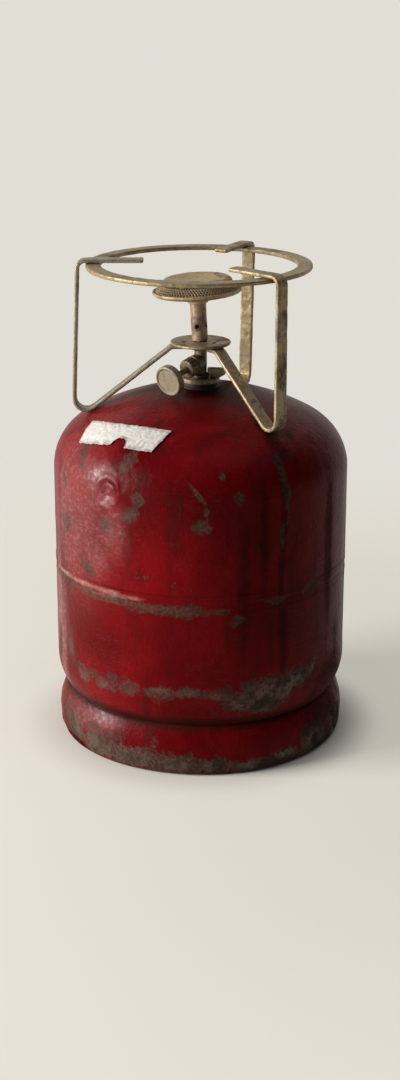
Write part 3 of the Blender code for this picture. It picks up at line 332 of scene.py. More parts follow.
# Pale scuffs along the weld's ridge on the left, with a painted glint where the ridge catches the light.
CREST_SCUFFS_AND_GLINTS = (
    Patch(-66.0, 125.4, 16.0, 2.2), Patch(-52.0, 125.1, 16.0, 2.9), Patch(-38.0, 124.9, 16.0, 3.1),
    Patch(-27.0, 124.6, 12.0, 2.2),
)
DENT_AZIMUTH = -37.4
DENT_HEIGHT = 192.8
DENT_RADIUS = 8.8
# A painted shadow in a crescent along the dent's upper fold.
FOLD_SHADOWS = tuple(
    Patch(DENT_AZIMUTH + math.degrees(DENT_RADIUS * 0.86 * math.cos(math.radians(angle)) / 101.0),
          DENT_HEIGHT + DENT_RADIUS * 0.86 * math.sin(math.radians(angle)), 1.5, 1.2)
    for angle in range(25, 91, 11))


@dataclass(frozen=True)
class BottlePaint:
    """Faded red paint over rusting steel, chipped at the named spots, with painted shade in the foot
    groove, a painted shadow in the dent's fold, and painted sheen and glints on the scuffed left flank and
    the weld crest.
    """

    name: str = "bottle_paint"
    deep: Colour = (0.105, 0.0014, 0.0028)
    bright: Colour = (0.205, 0.0035, 0.0062)
    # chalky pink of scuffs and scratches, also painted sheen on the left flank
    chalk_and_sheen: Colour = (0.34, 0.110, 0.105)
    # dark tone of the streaks, runs and neck ring, also the painted shade in the foot groove
    soot_and_shade: Colour = (0.020, 0.0080, 0.0055)
    shadow: Colour = (0.040, 0.004, 0.004)
    # pale scuffs and painted glint on the weld's crest
    pale: Colour = (0.46, 0.235, 0.205)
    scraped: Colour = (0.275, 0.240, 0.210)
    bare: Colour = (0.128, 0.104, 0.084)
    rust: Colour = (0.098, 0.070, 0.046)
    dark_rust: Colour = (0.050, 0.032, 0.025)
    foot: bool = False

    def build(self) -> bpy.types.Material:
        """Build the material.

        Returns:
            The paint.
        """
        graph = Graph(self.name)
        broad = graph.noise(14.0, 4.0)
        medium = graph.noise(70.0, 5.0, 0.62)
        fine = graph.noise(420.0, 4.0, 0.6)
        grit = graph.noise(1500.0, 2.0, 0.5)
        runs = graph.noise(9.0, 4.0, 0.6, graph.stretched((9.0, 9.0, 0.9)))
        ragged = (medium - 0.5) * 3.4 + (fine - 0.5) * 1.9
        worn = (graph.attribute("bare") + ragged).step(-0.55, 0.90)
        streak = (graph.attribute("streak") + ragged * 0.30).step(-0.25, 0.60)
        scuff_and_sheen = (graph.attribute("scuff_and_sheen") + ragged * 0.34).step(-0.25, 0.65)
        height = graph.z
        speckle = (medium * 0.6 + fine * 0.4 + (broad - 0.5) * 0.30).step(0.655, 0.70)
        waist = (height - 0.060).size().step(0.012, 0.002) * (medium + (broad - 0.5) * 0.8).step(
            0.58, 0.66)
        chipped = worn.most(waist).most(speckle * 0.7)
        if self.foot:
            edge = (height + (medium - 0.5) * 0.030 + (broad - 0.5) * 0.02).step(0.0140, 0.0050)
            chipped = chipped.most(edge * (broad * 0.5 + medium * 0.5).step(0.44, 0.56))
        # painted shade: the groove above the foot ring is darkened as if in shade
        groove = (height - 0.0365).size().step(0.0080, 0.0012) * (0.5 + medium * 0.8)
        reach = (graph.x * graph.x + graph.y * graph.y)
        neck = reach.step(0.0034, 0.0003) * height.step(0.20, 0.235)
        # painted shade in the foot groove, with a darker ring round the neck and dark streaks and runs
        grime_and_shade = groove.most(neck * (0.4 + medium)).most(streak * (0.35 + medium * 0.9)).most(
            runs.step(0.52, 0.70) * 0.55)
        colour = graph.mix(broad.step(0.35, 0.68), self.deep, self.bright)
        mottled = (medium * 0.6 + runs * 0.4).step(0.46, 0.62)
        colour = graph.mix(mottled * 0.5, colour, self.deep)
        wisps = graph.noise(260.0, 5.0, 0.7, graph.stretched((1.0, 1.0, 1.5))).step(0.46, 0.66)
        # painted sheen: a broad pale wash over the scuffed places, under the textured chalk of the scuffs
        # themselves
        fade = graph.attribute("scuff_and_sheen").step(-0.5, 0.9)
        colour = graph.mix((fade * 0.12 + scuff_and_sheen * (0.07 + wisps * 0.22)).least(0.6), colour, self.chalk_and_sheen)
        scratch = self._scratches(graph)
        colour = graph.mix(scratch * 0.10, colour, self.chalk_and_sheen)
        # painted shadow in the dent's upper fold, mixed in below
        fold_shadow = (graph.attribute("fold_shadow") + ragged * 0.12).step(-0.35, 0.35)
        colour = graph.mix(grime_and_shade.least(1.0) * 0.85, colour, self.soot_and_shade)
        low = height.step(0.090, 0.062)
        right = graph.x.step(0.0, 0.05)
        side = graph.mix(right, self.bare, self.scraped)
        bare = graph.mix(low, self.rust, side)
        metal = graph.mix(medium.step(0.40, 0.60), bare, self.dark_rust)
        metal = graph.mix(fine.step(0.48, 0.64) * 0.75, metal, self.rust)
        metal = graph.mix(grit.step(0.52, 0.66) * 0.4, metal, self.bare)
        lasting = right * 0.14 + 0.20 if self.foot else right * 0.36 - 0.05
        cover = 0.42 + low * lasting + fine.step(0.36, 0.52) * 0.34
        open_metal = chipped.step(0.12, 0.90) * cover.least(1.0)
        rim = chipped.step(0.05, 0.35) * (1.0 - chipped.step(0.45, 0.95))
        colour = graph.mix(rim * 0.4, colour, self.dark_rust)
        colour = graph.mix(open_metal, colour, metal)
        # painted highlight: pale scuffs and a painted glint along the weld's crest
        crest_scuff_and_glint = (graph.attribute("crest_scuff_and_glint") + ragged * 0.42).step(-0.1, 0.7) * (0.5 + wisps * 0.5)
        colour = graph.mix(crest_scuff_and_glint * 0.85, colour, self.pale)
        colour = graph.mix(fold_shadow * 0.80, colour, self.shadow)
        roughness = 0.34 + (fine - 0.5) * 0.24 + chipped * 0.36 + scuff_and_sheen * 0.05 + grime_and_shade * 0.15 + streak * 0.2
        relief = (0.42 + (medium - 0.5) * 0.60 + (fine - 0.5) * (0.36 + fade * 0.30) + (grit - 0.5) * 0.12
                  - open_metal * (0.28 + (fine - 0.5) * 0.6) - scratch * 0.10)
        material = graph.finish(colour, roughness.least(0.95).most(0.2), open_metal * 0.15,
                                relief, 0.00085)
        gloss = (fade * (0.42 + wisps * 0.70)).least(0.85) * (1.0 - open_metal) * (1.0 - fold_shadow)
        graph.tree.links.new(gloss.socket, graph.shader.inputs["Coat Weight"])
        graph.shader.inputs["Coat Roughness"].default_value = 0.33
        graph.shader.inputs["Specular IOR Level"].default_value = 0.05
        return material

    @staticmethod
    def _scratches(graph: Graph) -> Wire:
        """Fine scratches in two slanting directions."""
        marks = None
        for angle, scale in ((0.5, 30.0), (-0.9, 24.0)):
            turned = graph.node("ShaderNodeMapping", {"vector_type": "POINT"},
                                (graph.place, None, (angle, 0.2, angle), (1.0, 1.0, 14.0)))
            line = graph.noise(scale, 2.0, 0.5, turned)
            mask = (line - 0.5).size().step(0.006, 0.0015) * graph.noise(22.0).step(0.50, 0.62)
            marks = mask if marks is None else marks.most(mask)
        return marks


@dataclass(frozen=True)
class OldMetal:
    """Tarnished metal with brown stain patches, pale rubbed places and pits.

    The darkened places are a list, each with how far it reaches: rust round a tube's holes, painted shade
    in a plate's holes.
    """

    name: str
    pale: Colour
    mid: Colour
    dark: Colour
    metallic: float = 0.55
    roughness: float = 0.46
    stain: float = 0.5
    grain: float = 1.0
    pit_depth: float = 0.00022
    edge_gleam: float = 0.75
    stains_and_shade: tuple[StainAndShade, ...] = ()

    def build(self) -> bpy.types.Material:
        """Build the material.

        Returns:
            The metal.
        """
        graph = Graph(self.name)
        broad = graph.noise(55.0 * self.grain, 4.0)
        medium = graph.noise(240.0 * self.grain, 5.0, 0.65)
        fine = graph.noise(1300.0, 3.0, 0.6)
        drawn = graph.noise(150.0, 4.0, 0.65, graph.stretched((4.0, 4.0, 0.6)))
        rub = graph.attribute("rub")
        colour = graph.mix((medium * 0.55 + broad * 0.45).step(0.36, 0.62), self.mid, self.pale)
        stained = (broad * 0.6 + medium * 0.4).step(0.47, 0.62)
        colour = graph.mix(stained * self.stain, colour, self.dark)
        colour = graph.mix((drawn * 0.6 + fine * 0.4).step(0.51, 0.66) * 0.6, colour, self.dark)
        spots = fine.step(0.60, 0.70)
        colour = graph.mix(spots * 0.5, colour, self.dark)
        bright = (rub + (medium - 0.5) * 0.7).step(0.58, 0.95)
        colour = graph.mix(bright * self.edge_gleam, colour, self.pale)
        grimy = (rub + (medium - 0.5) * 0.4).step(0.42, 0.22)
        colour = graph.mix(grimy * 0.7, colour, self.dark)
        # darken round each place: rust round the tube's air holes, painted shade in the collar plate's
        # holes
        for x, y, z, reach in self.stains_and_shade:
            away = graph.node("ShaderNodeVectorMath", {"operation": "DISTANCE"},
                              (graph.place, (x, y, z)), "Value")
            near = (away / reach + (medium - 0.5) * 1.2).step(1.15, 0.70)
            colour = graph.mix(near * 0.92, colour, self.dark)
        rough = self.roughness + stained * 0.18 + (fine - 0.5) * 0.3 - bright * 0.10
        relief = 0.5 + (medium - 0.5) * 0.8 + (fine - 0.5) * 0.4 - spots * 0.3
        return graph.finish(colour, rough.least(0.95).most(0.2),
                            self.metallic - stained * 0.25, relief, self.pit_depth)


@dataclass(frozen=True)
class CreasedTape:
    """Old white tape: crinkled, with dirt along its torn edges."""

    name: str = "creased_tape"
    white: Colour = (0.73, 0.705, 0.665)
    shade: Colour = (0.63, 0.595, 0.54)
    dirt: Colour = (0.22, 0.13, 0.09)

    def build(self) -> bpy.types.Material:
        """Build the material.

        Returns:
            The tape's finish.
        """
        graph = Graph(self.name)
        cloudy = graph.noise(75.0, 4.0, 0.6)
        crinkle = graph.noise(330.0, 4.0, 0.65)
        weave = graph.noise(2300.0, 2.0, 0.5)
        specks = graph.noise(520.0, 3.0, 0.6).step(0.66, 0.74)
        edge = graph.attribute("edge")
        colour = graph.mix(cloudy.step(0.40, 0.70) * 0.45, self.white, self.shade)
        colour = graph.mix(specks * 0.35, colour, self.dirt)
        colour = graph.mix((edge + (crinkle - 0.5) * 1.2).step(0.62, 1.0) * 0.55, colour, self.dirt)
        relief = 0.5 + (crinkle - 0.5) * 0.14 + (cloudy - 0.5) * 0.7 + (weave - 0.5) * 0.04
        return graph.finish(colour, 0.72 + (cloudy - 0.5) * 0.2, 0.0, relief, 0.00030)


@dataclass(frozen=True)
class PlainDark:
    """A plain dark finish for hidden seals."""

    name: str = "old_rubber"
    base: Colour = (0.02, 0.02, 0.02)
    grey: Colour = (0.06, 0.055, 0.05)

    def build(self) -> bpy.types.Material:
        """Build the material.

        Returns:
            The rubber.
        """
        graph = Graph(self.name)
        bloom = graph.noise(300.0, 4.0)
        return graph.finish(graph.mix(bloom.step(0.4, 0.7), self.base, self.grey),
                            0.7 + bloom * 0.2, 0.0, bloom, 0.0001)


# Mesh helpers

def revolve(name: str, profile: Profile, steps: int,
            shift: Callable[[int, float, Vector], float] | None = None) -> bpy.types.Object:
    """Turn a closed profile into a mesh, with points moved in or out one by one.

    Args:
        name: The object's name.
        profile: Points of (radius, height), counter-clockwise when seen with +radius right
            reversed, that is down the outer side and back up the inner one.
        steps: Number of steps round the axis.
        shift: Gives how far out a point moves, from its index, azimuth and place.

    Returns:
        The new object.
    """
    verts: list[Vector] = []
    index: list[list[int]] = []
    for row, (radius, height) in enumerate(profile):
        ring = []
        for step in range(1 if radius < 1e-9 else steps):
            azimuth = math.tau * step / steps - math.pi
            level = Vector((math.sin(azimuth), -math.cos(azimuth), 0.0))
            point = level * radius + Vector((0.0, 0.0, height))
            if shift is not None and radius > 1e-9:
                point += level * shift(row, azimuth, point)
            ring.append(len(verts))
            verts.append(point)
        index.append(ring)
    faces = []
    for upper, lower in zip(index, index[1:] + index[:1]):
        if len(upper) == 1 and len(lower) == 1:
            continue
        for step in range(steps):
            ahead = (step + 1) % steps
            corners = [upper[step % len(upper)], lower[step % len(lower)],
                       lower[ahead % len(lower)], upper[ahead % len(upper)]]
            faces.append(tuple(dict.fromkeys(corners)))
    mesh = bpy.data.meshes.new(name)
    mesh.from_pydata(verts, [], faces)
    mesh.shade_smooth()
    mesh.set_sharp_from_angle(angle=math.radians(40.0))
    item = bpy.data.objects.new(name, mesh)
    bpy.context.scene.collection.objects.link(item)
    return item


def evaluated(item: bpy.types.Object) -> bpy.types.Object:
    """Apply an object's modifiers by taking its evaluated mesh.

    Args:
        item: The object to apply.

    Returns:
        The same object, with a plain mesh and no modifiers.
    """
    bpy.context.view_layer.update()
    graph = bpy.context.evaluated_depsgraph_get()
    mesh = bpy.data.meshes.new_from_object(item.evaluated_get(graph))
    item.modifiers.clear()
    if item.type == "MESH":
        item.data = mesh
        return item
    name = item.name
    bpy.data.objects.remove(item, do_unlink=True)
    result = bpy.data.objects.new(name, mesh)
    bpy.context.scene.collection.objects.link(result)
    return result


@dataclass(frozen=True)
class Wear:
    """How a hard-edged part is rounded and knocked about."""

    voxel: float = 0.55 * MM
    rounds: int = 3
    depth: float = 0.16 * MM
    scale: float = 160.0
    seed: float = 0.0


def worn_copy(node: str, name: str, wear: Wear) -> bpy.types.Object:
    """A copy of a CAD part with rubbed edges and small knocks.

    Args:
        node: The CAD part.
        name: The new object's name.
        wear: How worn it is.

    Returns:
        The new object.
    """
    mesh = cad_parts[node].data.copy()
    bm = bmesh.new()
    bm.from_mesh(mesh)
    bmesh.ops.remove_doubles(bm, verts=bm.verts, dist=0.000002)
    bm.to_mesh(mesh)
    bm.free()
    item = bpy.data.objects.new(name, mesh)
    bpy.context.scene.collection.objects.link(item)
    remesh = item.modifiers.new("grain", "REMESH")
    remesh.mode = "VOXEL"
    remesh.voxel_size = wear.voxel
    soften = item.modifiers.new("rub", "SMOOTH")
    soften.iterations = wear.rounds
    soften.factor = 0.5
    item = evaluated(item)
    shift = Vector((wear.seed, wear.seed * 0.7, -wear.seed))
    places = [vert.co.copy() for vert in item.data.vertices]
    normals = [vert.normal.copy() for vert in item.data.vertices]
    for number, (place, normal) in enumerate(zip(places, normals)):
        knock = noise.noise(place * wear.scale + shift) + 0.5 * noise.noise(
            place * wear.scale * 2.7 + shift)
        places[number] = place - normal * wear.depth * max(0.0, knock + 0.25)
    item.data.vertices.foreach_set("co", [value for place in places for value in place])
    mark_rubbing(item, wear.voxel)
    item.data.shade_smooth()
    return item


def mark_rubbing(item: bpy.types.Object, cell: float) -> None:
    """Store on each point how much it sticks out: 1 on a ridge, 0.5 on a flat, 0 in a hollow.

    Args:
        item: The object.
        cell: Size of its mesh's cells.
    """
    bm = bmesh.new()
    bm.from_mesh(item.data)
    bm.normal_update()
    values = []
    for vert in bm.verts:
        lift = sum((vert.co - edge.other_vert(vert).co).dot(vert.normal) for edge in vert.link_edges)
        values.append(min(1.0, max(0.0, 0.5 + 1.4 * lift / (cell * max(1, len(vert.link_edges))))))
    bm.free()
    layer = item.data.attributes.new("rub", "FLOAT", "POINT")
    layer.data.foreach_set("value", values)


def mark_wear_and_light(item: bpy.types.Object) -> None:
    """Store on each point how deep it lies in the bare spots, streaks, scuffs with their painted sheen, the
    crest's painted glint and the fold's painted shadow.
    """
    for name, spots in (("bare", BARE_SPOTS), ("streak", STREAKS), ("scuff_and_sheen", SCUFFS_AND_SHEEN),
                        ("crest_scuff_and_glint", CREST_SCUFFS_AND_GLINTS), ("fold_shadow", FOLD_SHADOWS)):
        values = []
        for vert in item.data.vertices:
            azimuth = math.atan2(vert.co.x, -vert.co.y)
            values.append(max(spot.depth(azimuth, vert.co.z) for spot in spots))
        layer = item.data.attributes.new(name, "FLOAT", "POINT")
        layer.data.foreach_set("value", [max(-3.0, value) for value in values])


def dress(item: bpy.types.Object, material: bpy.types.Material) -> None:
    """Give an object one material."""
    item.data.materials.clear()
    item.data.materials.append(material)


def place_on(item: bpy.types.Object, body: Body, slot: Slot, *nodes: str) -> None:
    """Ride a piece on its body and hide the parts that it stands for.

    Args:
        item: The piece.
        body: The body it moves with.
        slot: The record's slot of its finish; not used.
        nodes: The CAD parts that it replaces.
    """
    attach(item, body.value)
    if nodes:
        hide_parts(*nodes)
    LOG.info("%s: %d faces on %s", item.name, len(item.data.polygons), body.value)


# Geometry Nodes

class PatternTree:
    """A Geometry Nodes tree with named inputs."""

    def __init__(self, name: str) -> None:
        """Start an empty tree."""
        self.tree = bpy.data.node_groups.new(name, "GeometryNodeTree")
        self.tree.interface.new_socket("Geometry", in_out="OUTPUT", socket_type="NodeSocketGeometry")
        self.inputs: dict[str, str] = {}
        self.source = self.tree.nodes.new("NodeGroupInput")

    def add_input(self, name: str, kind: str) -> None:
        """Add a named input, such as a size."""
        socket = self.tree.interface.new_socket(name, in_out="INPUT", socket_type=kind)
        self.inputs[name] = socket.identifier

    def given(self, name: str) -> bpy.types.NodeSocket:
        """The socket that carries an input's value."""
        return next(s for s in self.source.outputs if s.name == name)

    def node(self, kind: str, settings: dict | None = None,
             values: dict | None = None) -> bpy.types.Node:
        """Add a node with its settings, and give its inputs values or links."""
        item = self.tree.nodes.new(kind)
        for key, value in (settings or {}).items():
            setattr(item, key, value)
        for key, value in (values or {}).items():
            if isinstance(value, bpy.types.NodeSocket):
                self.tree.links.new(value, item.inputs[key])
            else:
                item.inputs[key].default_value = value
        return item

    def close(self, shape: bpy.types.NodeSocket, material: bpy.types.Material) -> None:
        """End the tree in Realize Instances and Set Material."""
        real = self.node("GeometryNodeRealizeInstances", None, {0: shape})
        dressed = self.node("GeometryNodeSetMaterial", None, {0: real.outputs[0]})
        dressed.inputs["Material"].default_value = material
        out = self.tree.nodes.new("NodeGroupOutput")
        self.tree.links.new(dressed.outputs[0], out.inputs[0])

    def make(self, name: str, values: dict[str, float | int]) -> bpy.types.Object:
        """Run the tree on a new object and keep the result as a plain mesh.

        Args:
            name: The object's name.
            values: The inputs' values by name.

        Returns:
            The new object.
        """
        item = bpy.data.objects.new(name, bpy.data.meshes.new(name))
        bpy.context.scene.collection.objects.link(item)
        pattern = item.modifiers.new("pattern", "NODES")
        pattern.node_group = self.tree
        for key, value in values.items():
            pattern[self.inputs[key]] = value
        return evaluated(item)


def strand_tree(material: bpy.types.Material) -> PatternTree:
    """A tree that makes a cone of equal slanting wires.

    Args:
        material: The wires' finish.

    Returns:
        The tree.
    """
    tree = PatternTree("strands")
    tree.add_input("Count", "NodeSocketInt")
    for name in ("Foot Radius", "Top Radius", "Foot Height", "Top Height", "Sweep", "Wire"):
        tree.add_input(name, "NodeSocketFloat")
    cosine = tree.node("ShaderNodeMath", {"operation": "COSINE"}, {0: tree.given("Sweep")})
    sine = tree.node("ShaderNodeMath", {"operation": "SINE"}, {0: tree.given("Sweep")})
    ends = []
    for factor in (cosine, sine):
        ends.append(tree.node("ShaderNodeMath", {"operation": "MULTIPLY"},
                              {0: factor.outputs[0], 1: tree.given("Top Radius")}).outputs[0])
    start = tree.node("ShaderNodeCombineXYZ", None,
                      {0: tree.given("Foot Radius"), 2: tree.given("Foot Height")})
    end = tree.node("ShaderNodeCombineXYZ", None,
                    {0: ends[0], 1: ends[1], 2: tree.given("Top Height")})
    line = tree.node("GeometryNodeCurvePrimitiveLine", None,
                     {"Start": start.outputs[0], "End": end.outputs[0]})
    ring = tree.node("GeometryNodeCurvePrimitiveCircle", None, {"Resolution": 6})
    tree.tree.links.new(tree.given("Wire"), ring.inputs["Radius"])
    tube = tree.node("GeometryNodeCurveToMesh", None,
                     {"Curve": line.outputs[0], "Profile Curve": ring.outputs[0],
                      "Fill Caps": True})
    points = tree.node("GeometryNodePoints", None, {"Count": tree.given("Count")})
    number = tree.node("GeometryNodeInputIndex")
    share = tree.node("ShaderNodeMath", {"operation": "DIVIDE"},
                      {0: number.outputs[0], 1: tree.given("Count")})
    turn = tree.node("ShaderNodeMath", {"operation": "MULTIPLY"}, {0: share.outputs[0], 1: math.tau})
    angle = tree.node("ShaderNodeCombineXYZ", None, {2: turn.outputs[0]})
    spread = tree.node("GeometryNodeInstanceOnPoints", None,
                       {"Points": points.outputs[0], "Instance": tube.outputs[0],
                        "Rotation": angle.outputs[0]})
    tree.close(spread.outputs[0], material)
    return tree


# Sub-assemblies

@dataclass
class Bottle:
    """The two welded shells and the foot ring."""

    radius: float = 101.0 * MM
    wall: float = 2.5 * MM
    knuckle: float = 38.0 * MM
    top_crown: float = 167.0 * MM
    base_crown: float = 230.0 * MM
    base_tangent: float = 57.0 * MM
    top_tangent: float = 190.6 * MM
    seam: float = 123.5 * MM
    seam_half: float = 5.5 * MM
    seam_root: float = 0.8 * MM
    seam_depth: float = 1.5 * MM
    ridge_azimuth: float = math.radians(-48.0)
    ridge_spread: float = math.radians(34.0)
    neck_hole: float = 11.3 * MM
    steps: int = 320
    fine_steps: int = 500
    dent_azimuth: float = math.radians(DENT_AZIMUTH)
    dent_height: float = DENT_HEIGHT * MM
    dent_radius: float = DENT_RADIUS * MM
    dent_depth: float = 1.45 * MM
    dent_lip: float = 0.30
    dent_steep: float = math.radians(60.0)
    wrinkle_drop: float = 12.0 * MM
    wrinkle_reach: float = 28.0 * MM
    foot_radius: float = 100.4 * MM
    foot_belly: float = 15.0 * MM
    foot_top_radius: float = 94.97 * MM
    foot_top: float = 34.07 * MM
    foot_roll: float = 5.0 * MM
    foot_taper: float = 0.45 * MM
    foot_lip: float = 92.35 * MM
    small_dents: tuple[tuple[float, float, float, float], ...] = field(default_factory=lambda: (
        (-35.0, 181.0, 10.0, 0.5), (-58.0, 160.0, 13.0, 0.5), (1.0, 178.0, 9.0, 0.45),
        (-48.0, 142.0, 10.0, 0.4), (28.0, 60.0, 16.0, 0.6), (-30.0, 92.0, 18.0, 0.4),
        (150.0, 170.0, 16.0, 1.0), (-130.0, 90.0, 20.0, 0.9), (95.0, 150.0, 14.0, 0.6)))

    def shift(self, azimuth: float, point: Vector) -> float:
        """How far the outer face is pushed in at a point.

        Args:
            azimuth: Azimuth of the point.
            point: Its place on the true shape.

        Returns:
            The move outwards, negative for a dent.
        """
        sway = noise.noise(point * 18.0) * 0.5 + noise.noise(point * 55.0) * 0.25
        near = math.hypot((azimuth - self.dent_azimuth) * self.radius,
                          (point.z - self.dent_height + self.wrinkle_drop) * 0.7)
        wrinkle = abs(noise.noise(point * 150.0)) + 0.6 * abs(noise.noise(point * 330.0))
        wrinkle *= math.exp(-(near / self.wrinkle_reach) ** 2)
        move = -(abs(sway) * 0.75 + wrinkle * 0.80) * MM
        along = (azimuth - self.dent_azimuth) * self.radius
        rise = point.z - self.dent_height
        uneven = noise.noise(point * 90.0) * 0.12
        reach = math.hypot(along, rise * 0.95) / self.dent_radius + uneven
        if reach < 2.0:
            slope = 0.60 - 0.30 * math.cos(math.atan2(rise, along) - self.dent_steep)
            inside = min(1.0, max(0.0, (1.0 - reach) / slope))
            crater = inside * inside * (3.0 - 2.0 * inside)
            pucker = 1.0 + 0.25 * math.sin(reach * 9.0)
            lip = math.exp(-((reach - 1.18) / 0.2) ** 2)
            return move + self.dent_depth * (self.dent_lip * lip - crater * pucker)
        for degrees, height, radius, depth in self.small_dents:
            away = math.hypot((azimuth - math.radians(degrees)) * self.radius,
                              point.z - height * MM) / (radius * MM)
            if away < 1.0:
                move -= depth * MM * math.cos(away * math.pi / 2.0) ** 2
        return min(move, 0.05 * MM)

    def _half(self, tangent: float, crown: float, inner: float, sign: float,
              rows: tuple[int, int] = (21, 24)) -> Profile:
        """Outer points from the tangent line to the middle of a shell."""
        bend, dome = rows
        middle = self.radius - self.knuckle
        drop = math.sqrt((crown - self.knuckle) ** 2 - middle ** 2)
        joint = math.atan2(drop, middle)
        points = []
        for i in range(bend + 1):
            angle = joint * i / bend
            points.append((middle + self.knuckle * math.cos(angle),
                           tangent + sign * self.knuckle * math.sin(angle)))
        stop = math.acos(min(1.0, inner / crown))
        for i in range(1, dome + 1):
            angle = joint + (stop - joint) * i / dome
            radius = crown * math.cos(angle)
            points.append((radius if radius > 1e-6 else 0.0,
                           tangent + sign * (crown * math.sin(angle) - drop)))
        return points

    def _inner(self, outer: Profile) -> Profile:
        """The inner side of a shell, one wall in from its outer points, and thinned out."""
        inner = []
        last = len(outer) - 1
        for i, (radius, height) in enumerate(outer):
            before, after = outer[max(0, i - 1)], outer[min(last, i + 1)]
            run, rise = after[0] - before[0], after[1] - before[1]
            length = math.hypot(run, rise)
            if i % 5 == 0 or i == last:
                inner.append((max(0.0, radius + rise / length * self.wall),
                              height - run / length * self.wall))
        return inner

    def _skin(self, name: str, outer: Profile, steps: int) -> bpy.types.Object:
        """A shell with its worn outer face."""
        inner = self._inner(outer)
        profile = outer + inner[::-1]
        count = len(outer)
        return revolve(name, profile, steps,
                       lambda row, azimuth, point: self.shift(azimuth, point) if row < count
                       else 0.0)

    def _straight(self, high: float, low: float, count: int) -> Profile:
        """Points down the straight wall, ends left out."""
        return [(self.radius, high + (low - high) * i / count) for i in range(1, count)]

    def build(self) -> None:
        """Build the shells, the seam's bead and the foot ring."""
        paint = BottlePaint().build()
        foot_paint = BottlePaint(name="foot_paint", foot=True).build()
        groove = self.seam + self.seam_half
        upper = self._half(self.top_tangent, self.top_crown, self.neck_hole, 1.0, (40, 38))[::-1]
        upper += self._straight(self.top_tangent, groove, 54)
        upper += [(self.radius, groove), (self.radius - self.seam_depth, self.seam + self.seam_root)]
        shell = self._skin("upper_skin", upper, self.fine_steps)
        mark_wear_and_light(shell)
        dress(shell, paint)
        place_on(shell, Body.ROOT, Slot.BODY_PAINT, "upper_shell")
        groove = self.seam - self.seam_half
        lower = [(self.radius - self.seam_depth, self.seam - self.seam_root), (self.radius, groove)]
        lower += self._straight(groove, self.base_tangent, 34)
        lower += self._half(self.base_tangent, self.base_crown, 0.0, -1.0)
        shell = self._skin("lower_skin", lower, self.steps)
        mark_wear_and_light(shell)
        dress(shell, paint)
        place_on(shell, Body.ROOT, Slot.BODY_PAINT, "lower_shell")
        self._bead(paint)
        self._foot(foot_paint)

    def _bead(self, paint: bpy.types.Material) -> None:
        """The girth weld, with its ripples."""
        half = self.seam_half - 0.2 * MM
        gap = 0.1 * MM
        slope = self.seam_depth / (self.seam_half - self.seam_root)
        edge = self.radius - slope * (self.seam_half - half) + gap
        root = self.radius - self.seam_depth + gap
        flush = self.radius - 0.1 * MM
        profile = [(root, self.seam + self.seam_root), (edge, self.seam + half)]
        rows = 18
        for i in range(1, rows):
            profile.append((flush, self.seam + half - 2.0 * half * i / rows))
        profile += [(edge, self.seam - half), (root, self.seam - self.seam_root)]

        def ripple(row: int, azimuth: float, point: Vector) -> float:
            """The ridge, the undercut below it and weld ripples, on the outer rows only."""
            if not 1 < row <= rows:
                return 0.0
            rise = (point.z - self.seam) / MM
            share = math.exp(-((azimuth - self.ridge_azimuth) / self.ridge_spread) ** 2)
            wave = 1.0 + 0.25 * math.sin(azimuth * 190.0) + 0.7 * noise.noise(point * 110.0)
            ridge = (0.12 + 0.42 * share) * wave * math.exp(-((rise - 1.8) / 0.95) ** 2)
            hollow = (0.20 + 0.45 * share) * math.exp(-((rise + 0.9) / 1.3) ** 2)
            return min(0.55, ridge - hollow) * MM

        bead = revolve("seam_bead", profile, 640, ripple)
        mark_wear_and_light(bead)
        dress(bead, paint)
        place_on(bead, Body.ROOT, Slot.WELD, "girth_weld")

    def _foot(self, paint: bpy.types.Material) -> None:
        """The foot ring, with its bruised lower edge."""
        outer: Profile = [(self.foot_top_radius - 1.6 * MM, self.foot_top + 1.0 * MM)]
        rise = self.foot_top - self.foot_belly
        for i in range(15):
            share = 1.0 - i / 14
            outer.append((self.foot_radius - (self.foot_radius - self.foot_top_radius) * share ** 2,
                          self.foot_belly + rise * share))
        outer += [(self.foot_radius - self.foot_taper * i / 4, self.foot_belly
                   - (self.foot_belly - self.foot_roll) * i / 4) for i in range(1, 4)]
        middle = self.foot_radius - self.foot_taper - self.foot_roll
        for i in range(9):
            angle = -math.pi / 2.0 * i / 8
            outer.append((middle + self.foot_roll * math.cos(angle),
                          self.foot_roll + self.foot_roll * math.sin(angle)))
        outer.append((self.foot_lip, 0.0))
        inner = self._inner(outer)
        count = len(outer)

        def bruise(row: int, azimuth: float, point: Vector) -> float:
            """Knocks along the ring, kept off its flat seat."""
            if row == 0 or row >= count or point.z < 1.0 * MM:
                return 0.0
            sway = abs(noise.noise(point * 30.0)) * 0.8 + abs(noise.noise(point * 90.0)) * 0.35
            flat = math.exp(-((azimuth + 1.12) / 0.20) ** 2) * max(0.0, 1.0 - point.z / 0.024)
            near_top = min(1.0, (self.foot_top - point.z) / (6.0 * MM))
            return -(sway * (0.3 + 0.7 * near_top) + flat * 3.4) * MM

        ring = revolve("foot_skin", outer + inner[::-1], self.steps, bruise)
        mark_wear_and_light(ring)
        dress(ring, paint)
        place_on(ring, Body.ROOT, Slot.FOOT_PAINT, "foot_ring")


